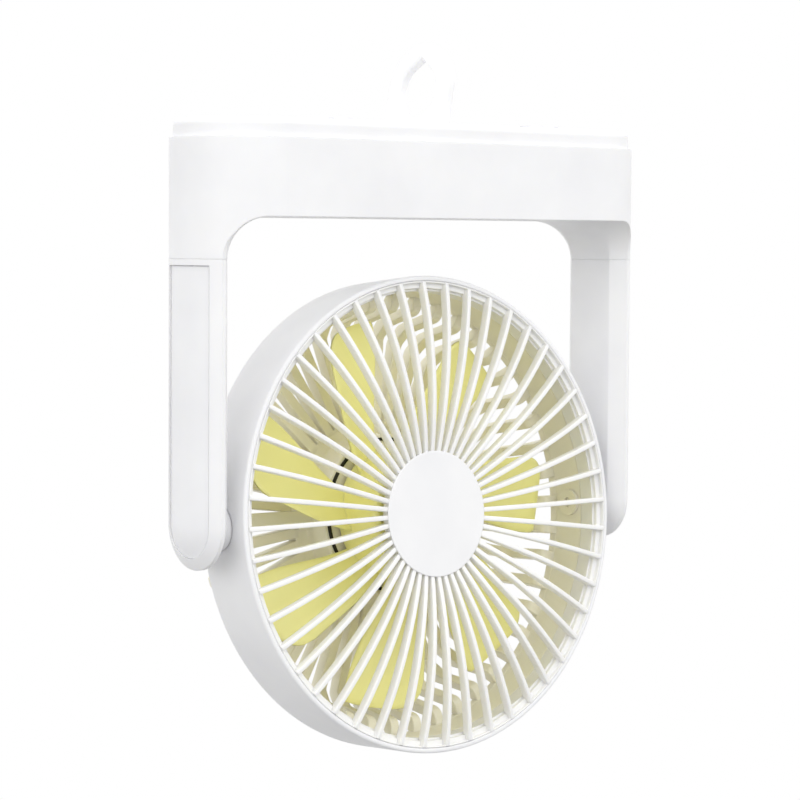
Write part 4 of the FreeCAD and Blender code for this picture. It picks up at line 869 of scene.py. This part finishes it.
@dataclass
class FrontGrille:
    """The ribs, their outer ring and the hub disc behind the cap."""

    count: int = 48
    first: float = 0.53
    width: float = 1.8
    depth: float = 3.6
    soft: float = 0.42
    crest: float = 19.5
    crest_place: float = 54.0
    front: float = 15.8
    hub: float = 23.4
    hub_sink: float = 0.5
    thick: float = 3.1
    ring_bore: float = 85.3
    ledge: float = 14.2
    step: float = 87.3
    skirt_bore: float = 84.4
    skirt_out: float = 86.1
    ring_edge: float = 88.0
    skirt_end: float = 6.2

    @property
    def back(self) -> float:
        """Where the backs of the ring and the hub disc lie."""
        return self.front - self.thick

    def ribs(self, shop: Workshop) -> bpy.types.Mesh:
        """Sweeps the ribs along their arched line, from inside the hub disc to the ring's step."""
        line = arc_points((self.hub - 1.0, self.front + 0.05), (self.crest_place, self.crest),
                          (self.step + 0.15, self.front + 0.3), 26)
        path = path_mesh("rib_line", [(x, 0.0, z - self.depth / 2) for x, z in line])
        return shop.bars.run("grille_ribs", path, Count=self.count, First=math.radians(self.first),
                             Step=2 * math.pi / self.count, Width=self.width, Depth=self.depth,
                             Round=self.soft, Material=shop.palette.of(GRILLE))

    def ring(self) -> bpy.types.Mesh:
        """Turns the outer ring, stepped for the ribs' ends, with its skirt."""
        return turned("grille_ring", [
            (self.skirt_bore, self.skirt_end, 0.25), (self.skirt_out, self.skirt_end, 0.25),
            (self.skirt_out, self.back, 0.0), (self.ring_edge, self.back, 0.2),
            (self.ring_edge, self.front, 0.35), (self.step, self.front, 0.3),
            (self.step, self.ledge, 0.2), (self.ring_bore, self.ledge, 0.35),
            (self.ring_bore - 0.1, self.back, 0.3), (self.skirt_bore, self.back, 0.0)], RIM_SEGMENTS)

    def hub_plate(self) -> bpy.types.Mesh:
        """Turns the disc that the ribs run into."""
        face = self.front - self.hub_sink
        return turned("grille_hub", [
            (0.0, self.back, 0.0), (self.hub, self.back, 0.5), (self.hub, face, 0.2),
            (0.0, face, 0.0)], HUB_PLATE_SEGMENTS)

    def build(self, shop: Workshop) -> None:
        """Builds and places the grille as one piece."""
        mesh = merged("front_grille_moulding", self.ribs(shop), self.ring(), self.hub_plate())
        shop.place(mesh, Body.HEAD, "front_grille", GRILLE)


@dataclass
class HubCap:
    """The flat disc at the middle of the front, very slightly crowned."""

    radius: float = 23.8
    back: float = 15.35
    front: float = 16.7
    crown: float = 0.12
    step: float = 0.4
    step_height: float = 0.8

    def build(self, shop: Workshop) -> None:
        """Builds and places the disc, stepped at its back and crowned at its front."""
        crown = [(self.radius * share, self.front - self.crown * share * share)
                 for share in (0.97, 0.8, 0.6, 0.4, 0.2, 0.0)]
        foot = self.radius - self.step
        edge = rounded([(foot, self.back, 0.0), (foot, self.back + self.step_height, 0.0),
                        (self.radius, self.back + self.step_height, 0.15),
                        (self.radius, self.front - self.crown, 0.45),
                        (self.radius * 0.97, self.front - self.crown + 0.01, 0.0)], 6)[:-1]
        mesh = lathe("hub_cap_disc", [(0.0, self.back)] + edge + crown, HUB_SEGMENTS)
        shop.place(mesh, Body.HEAD, "hub_cap", DISC)


@dataclass
class RearGuard:
    """The skirt inside the drum, the deep dish of bars, and the motor's pod and post."""

    count: int = 46
    first: float = 0.54
    width: float = 4.0
    edge_cut: float = 0.315
    deep: float = 5.4
    shoulder: Point = (78.4, -8.0)
    wall_foot: Point = (74.4, -24.8)
    shoulder_rear: Point = (81.0, -14.5)
    wall_foot_rear: Point = (77.0, -29.6)
    bar_root: float = 35.0
    collar: float = 36.3
    rim: float = 84.4
    edge: float = 86.1
    top: float = 6.0
    face: float = -8.0
    rear: float = -11.5
    floor: float = -29.2
    floor_edge: float = 69.5
    rise: float = 5.0
    pod: float = 31.0
    pod_bore: float = 28.5
    pod_front: float = -13.2
    pod_back: float = -32.6
    plate: float = 2.5
    post: float = 5.0
    post_bore: float = 3.2
    post_front: float = 6.3
    post_back: float = -20.2

    def level(self, radius: float) -> float:
        """Gives the floor's front level at a radius."""
        return self.floor + (self.floor_edge - radius) * self.rise / (self.floor_edge - self.pod)

    def bars(self, shop: Workshop) -> bpy.types.Mesh:
        """Copies one bar, shallow down the dish's wall and deep across its floor, round the axis."""
        root, out = self.level(self.bar_root), self.rim + 0.4
        outline = rounded([
            (out, self.face, 0.0), (*self.shoulder, 3.4), (*self.wall_foot, 3.0),
            (self.floor_edge, self.floor + 0.1, 2.4), (self.bar_root, root, 0.0),
            (self.bar_root, root - self.deep, 0.0),
            (self.floor_edge + 1.0, self.floor - self.deep + 0.1, 3.0),
            (*self.wall_foot_rear, 3.0), (*self.shoulder_rear, 3.0), (out, self.rear + 0.3, 0.0)], 8)
        bar = slab("one_bar", outline, self.width, self.edge_cut)
        return shop.copies.run("guard_bars", bar, Count=self.count, First=math.radians(self.first),
                               Step=2 * math.pi / self.count, Material=shop.palette.of(GUARD))

    def skirt(self) -> bpy.types.Mesh:
        """Turns the skirt that the bars end in."""
        foot = self.rim - 0.2
        return turned("guard_skirt", [
            (foot, self.rear, 0.3), (self.edge, self.rear, 0.4), (self.edge, self.top, 0.2),
            (self.rim, self.top, 0.2), (self.rim, self.face, 0.1),
            (foot, self.face, 0.1)], RIM_SEGMENTS)

    def pod_wall(self) -> bpy.types.Mesh:
        """Turns the pod, its plate and post, and the collar that the bars grow from."""
        plate_back = self.pod_front - self.plate
        root, collar = self.level(self.pod), self.level(self.collar)
        return turned("guard_pod", [
            (self.post_bore, self.post_back, 0.0), (self.post, self.post_back, 0.3),
            (self.post, plate_back, 0.5), (self.pod_bore, plate_back, 0.6),
            (self.pod_bore, self.pod_back, 0.2), (self.pod, self.pod_back, 0.3),
            (self.pod, root - self.deep, 0.5), (self.collar, collar - self.deep, 0.5),
            (self.collar, collar, 0.5), (self.pod, root, 1.0), (self.pod, self.pod_front, 0.8),
            (self.post, self.pod_front, 0.5), (self.post, self.post_front, 0.4),
            (self.post_bore, self.post_front, 0.0)], HUB_SEGMENTS)

    def build(self, shop: Workshop) -> None:
        """Builds and places the guard as one piece."""
        mesh = merged("rear_guard_moulding", self.bars(shop), self.skirt(), self.pod_wall())
        shop.place(mesh, Body.HEAD, "rear_guard", GUARD)


@dataclass
class Impeller:
    """Seven wide blades on a cup-shaped hub."""

    count: int = 7
    hub: float = 25.4
    wall: float = 2.9
    hub_front: float = 10.8
    hub_back: float = 11.5
    tip: float = 74.5
    root: float = 23.4
    thick: float = 1.6
    corner: float = 10.5
    corner_width: float = 25.4
    belly: float = 0.05
    floor: float = 8.42
    # share of the way out, middle's angle, width in degrees, rear edge's and front edge's height
    shape: tuple[tuple[float, float, float, float, float], ...] = (
        (0.00, 21.1, 35.8, -10.4, -4.5), (0.25, 13.2, 31.8, -11.0, -3.6),
        (0.50, 7.7, 29.4, -11.2, -2.8), (0.75, 4.5, 27.3, -11.2, -1.9),
        (1.00, 3.6, 25.4, -11.2, -1.0))

    def at(self, share: float) -> tuple[float, float, float, float]:
        """Gives the blade's middle, width and heights at a share of the way out, on smooth curves."""
        knots = [row[0] for row in self.shape]
        out = []
        for column in range(1, 5):
            values = [row[column] for row in self.shape]
            total = 0.0
            for i, knot in enumerate(knots):
                term = values[i]
                for j, other in enumerate(knots):
                    if j != i:
                        term *= (share - other) / (knot - other)
                total += term
            out.append(total)
        return tuple(out)

    def blade_point(self, share: float, across: float) -> Vector:
        """Gives a point of the blade's middle surface, across from -0.5, the rear edge, to 0.5."""
        bend = self.corner / (math.radians(self.corner_width) * self.tip)
        over = max(0.0, (across - (0.5 - bend)) / bend)
        under = max(0.0, (-across - 0.47) / 0.03)
        cut = self.corner * (1 - math.sqrt(max(0.0, 1 - over * over))) + 1.2 * under * under
        radius = self.root + (self.tip - cut - self.root) * share
        middle, width, low, high = self.at((radius - self.root) / (self.tip - self.root))
        turn = math.radians(middle + width * across)
        sag = self.belly * math.radians(width) * radius * (1 - 4 * across * across)
        height = low + (high - low) * (across + 0.5) - sag
        return Vector((radius * math.cos(turn), radius * math.sin(turn), height))

    def blade_normal(self, share: float, across: float) -> Vector:
        """Gives the direction off the blade's middle surface at a point."""
        step = 1e-3
        along = (self.blade_point(min(share + step, 1.0), across)
                 - self.blade_point(share - step, across))
        over = (self.blade_point(share, min(across + step, 0.5))
                - self.blade_point(share, max(across - step, -0.5)))
        return along.cross(over).normalized()

    def blade(self) -> bpy.types.Mesh:
        """Builds one blade with rounded edges as a closed skin."""
        rows, columns = 40, 26
        tip_round, edge_round = 0.015, 0.8
        work = bmesh.new()
        acrosses = [-0.5 + k / columns for k in range(columns + 1)]
        loops = []
        for row in range(rows + 1):
            share = row / rows
            past = max(0.0, (share - (1 - tip_round)) / tip_round)
            squeeze = math.sqrt(max(0.04, 1 - past ** 2))
            upper, lower = [], []
            for across in acrosses:
                here, normal = self.blade_point(share, across), self.blade_normal(share, across)
                edge = min(1.0, (0.5 - abs(across)) * columns / edge_round)
                thick = self.thick / 2 * squeeze * math.sqrt(max(0.0, 1 - (1 - edge) ** 2))
                upper.append(here + normal * thick)
                lower.append(here - normal * thick)
            loops.append([work.verts.new(point) for point in upper + lower[-2:0:-1]])
        for ring, after in zip(loops, loops[1:]):
            band(work, ring, after)
        work.faces.new(loops[0])
        work.faces.new(loops[-1])
        return closed(work, "one_blade")

    def hub_mesh(self) -> bpy.types.Mesh:
        """Turns the hub's cup."""
        inner = self.hub - self.wall
        return turned("impeller_hub", [
            (0.0, self.floor, 0.0), (inner, self.floor, 0.4), (inner, -self.hub_back, 0.3),
            (self.hub, -self.hub_back, 0.6), (self.hub, self.hub_front, 2.6),
            (0.0, self.hub_front, 0.0)], HUB_SEGMENTS, 8)

    def build(self, shop: Workshop) -> None:
        """Builds and places the impeller as one piece."""
        blades = shop.copies.run("impeller_blades", self.blade(), Count=self.count, First=0.0,
                                 Step=2 * math.pi / self.count, Material=shop.palette.of(LEMON))
        mesh = merged("impeller_moulding", blades, self.hub_mesh())
        shop.place(mesh, Body.IMPELLER, "impeller", LEMON, sharp=50.0)


# ---- Studio ----


@dataclass(frozen=True)
class Lamp:
    """One soft square lamp, aimed at the fan."""

    name: str
    place: tuple[float, float, float]
    power: float
    size: float
    aim: tuple[float, float, float] = (0.0, 0.0, -0.14)

    def hang(self) -> None:
        """Puts the lamp in the scene."""
        data = bpy.data.lights.new(self.name, "AREA")
        data.energy, data.size = self.power, self.size
        lamp = bpy.data.objects.new(self.name, data)
        bpy.context.scene.collection.objects.link(lamp)
        lamp.location = self.place
        way = Vector(self.aim) - Vector(self.place)
        lamp.rotation_euler = way.to_track_quat("-Z", "Y").to_euler()


@dataclass
class Studio:
    """The floor, the backdrop, the lamps and the camera."""

    camera_place: tuple[float, float, float] = (-0.701812, -0.825749, -0.069364)
    yaw: float = 39.9
    pitch: float = 3.17
    roll: float = 0.35
    lens: float = 127.74
    floor_level: float = -0.42
    floor_reach: float = 9.0
    floor_bounce: float = 0.62
    shadow_reach: float = 0.6
    sky_light: float = 1.10
    lamps: tuple[Lamp, ...] = (
        Lamp("key_front", (0.35, -1.5, 0.75), 6.9, 1.1),
        Lamp("fill_left", (-1.6, -0.5, 0.35), 6.0, 1.3),
        Lamp("top_soft", (0.1, 0.2, 1.5), 4.4, 1.4))

    def camera(self) -> None:
        """Sets the camera where the photograph was taken from."""
        data = bpy.data.cameras.new("photograph")
        data.lens = self.lens
        data.sensor_width = 36.0
        data.clip_start, data.clip_end = 0.05, 60.0
        camera = bpy.data.objects.new("photograph", data)
        bpy.context.scene.collection.objects.link(camera)
        yaw, pitch, roll = (math.radians(value) for value in (self.yaw, self.pitch, self.roll))
        level = math.cos(pitch)
        look = Vector((math.sin(yaw) * level, math.cos(yaw) * level, -math.sin(pitch)))
        right = Vector((math.cos(yaw), -math.sin(yaw), 0.0))
        up = right.cross(look)
        across = right * math.cos(roll) + up * math.sin(roll)
        above = up * math.cos(roll) - right * math.sin(roll)
        turn = Matrix((across, above, -look)).transposed().to_4x4()
        camera.matrix_world = Matrix.Translation(self.camera_place) @ turn
        bpy.context.scene.camera = camera

    def seen_white(self, bench: Bench) -> None:
        """Fades a floor to plain white, away from the fan's shadow, for the camera, gloss and glass."""
        glow = bench.node("ShaderNodeEmission")
        flat = bench.node("ShaderNodeVectorMath", operation="MULTIPLY")
        flat.inputs[1].default_value = (1.0, 1.0, 0.0)
        bench.link(bench.place, flat.inputs[0])
        away = bench.node("ShaderNodeVectorMath", operation="LENGTH")
        bench.link(flat.outputs[0], away.inputs[0])
        fade = bench.node("ShaderNodeMapRange", interpolation_type="SMOOTHSTEP")
        fade.inputs["From Min"].default_value = self.shadow_reach * 0.4
        fade.inputs["From Max"].default_value = self.shadow_reach
        bench.link(away.outputs["Value"], fade.inputs["Value"])
        path = bench.node("ShaderNodeLightPath").outputs
        seen = bench.maths("MULTIPLY", path["Is Camera Ray"], fade.outputs["Result"])
        other = bench.maths("MAXIMUM", path["Is Glossy Ray"], path["Is Transmission Ray"])
        mix = bench.node("ShaderNodeMixShader")
        bench.link(bench.maths("MAXIMUM", seen, other), mix.inputs["Fac"])
        bench.link(bench.surface.outputs["BSDF"], mix.inputs[1])
        bench.link(glow.outputs[0], mix.inputs[2])
        bench.link(mix.outputs[0], bench.tree.nodes["Material Output"].inputs["Surface"])

    def floor(self) -> None:
        """Lays a wide pale floor under the fan, darker for the light that it sends back up."""
        mesh = bpy.data.meshes.new("studio_floor")
        far, level = self.floor_reach, self.floor_level
        corners = [(-far, -far, level), (far, -far, level), (far, far, level), (-far, far, level)]
        mesh.from_pydata(corners, [], [(0, 1, 2, 3)])
        bench = Bench("studio_floor_paint")
        soft = bench.between(bench.cloud(3.0), 0.0, 1.0)
        shade = bench.node("ShaderNodeMix", data_type="RGBA")
        shade.inputs[7].default_value = paint_of(*[self.floor_bounce] * 3)
        bounced = bench.node("ShaderNodeLightPath").outputs["Is Diffuse Ray"]
        bench.link(bounced, shade.inputs["Factor"])
        paint = bench.blend(soft, paint_of(0.955, 0.955, 0.96), paint_of(0.965, 0.965, 0.965))
        bench.link(paint, shade.inputs[6])
        bench.feed("Base Color", shade.outputs[2])
        bench.set(Roughness=0.9)
        self.seen_white(bench)
        mesh.materials.append(bench.material)
        floor = bpy.data.objects.new("studio_floor", mesh)
        bpy.context.scene.collection.objects.link(floor)

    def sky(self) -> None:
        """Surrounds the fan with soft light that the camera sees as white."""
        world = bpy.data.worlds.new("studio_sky")
        world.use_nodes = True
        world.node_tree.nodes.clear()
        sky = NodeTree(world.node_tree)
        soft, white = sky.node("ShaderNodeBackground"), sky.node("ShaderNodeBackground")
        for light, strength in ((soft, self.sky_light), (white, 1.0)):
            light.inputs["Strength"].default_value = strength
            light.inputs["Color"].default_value = (1.0, 1.0, 1.0, 1.0)
        path = sky.node("ShaderNodeLightPath").outputs
        seen = sky.maths("MAXIMUM", path["Is Camera Ray"], path["Is Transmission Ray"])
        mix = sky.node("ShaderNodeMixShader")
        sky.link(seen, mix.inputs["Fac"])
        sky.link(soft.outputs[0], mix.inputs[1])
        sky.link(white.outputs[0], mix.inputs[2])
        sky.link(mix.outputs[0], sky.node("ShaderNodeOutputWorld").inputs["Surface"])
        bpy.context.scene.world = world

    def build(self) -> None:
        """Builds the whole studio."""
        self.camera()
        self.floor()
        self.sky()
        for lamp in self.lamps:
            lamp.hang()
        bpy.context.scene.view_settings.view_transform = "Standard"


def main() -> None:
    """Loads the frame, builds every piece round it and sets the studio."""
    logging.basicConfig(level=logging.INFO, format="%(name)s %(message)s")
    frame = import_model()
    shop = Workshop(frame)
    for part in (Drum(), FrontGrille(), HubCap(), RearGuard(), Impeller()):
        part.build(shop)
    shop.dress_nodes()
    Studio().build()


if __name__ == "__main__":
    main()
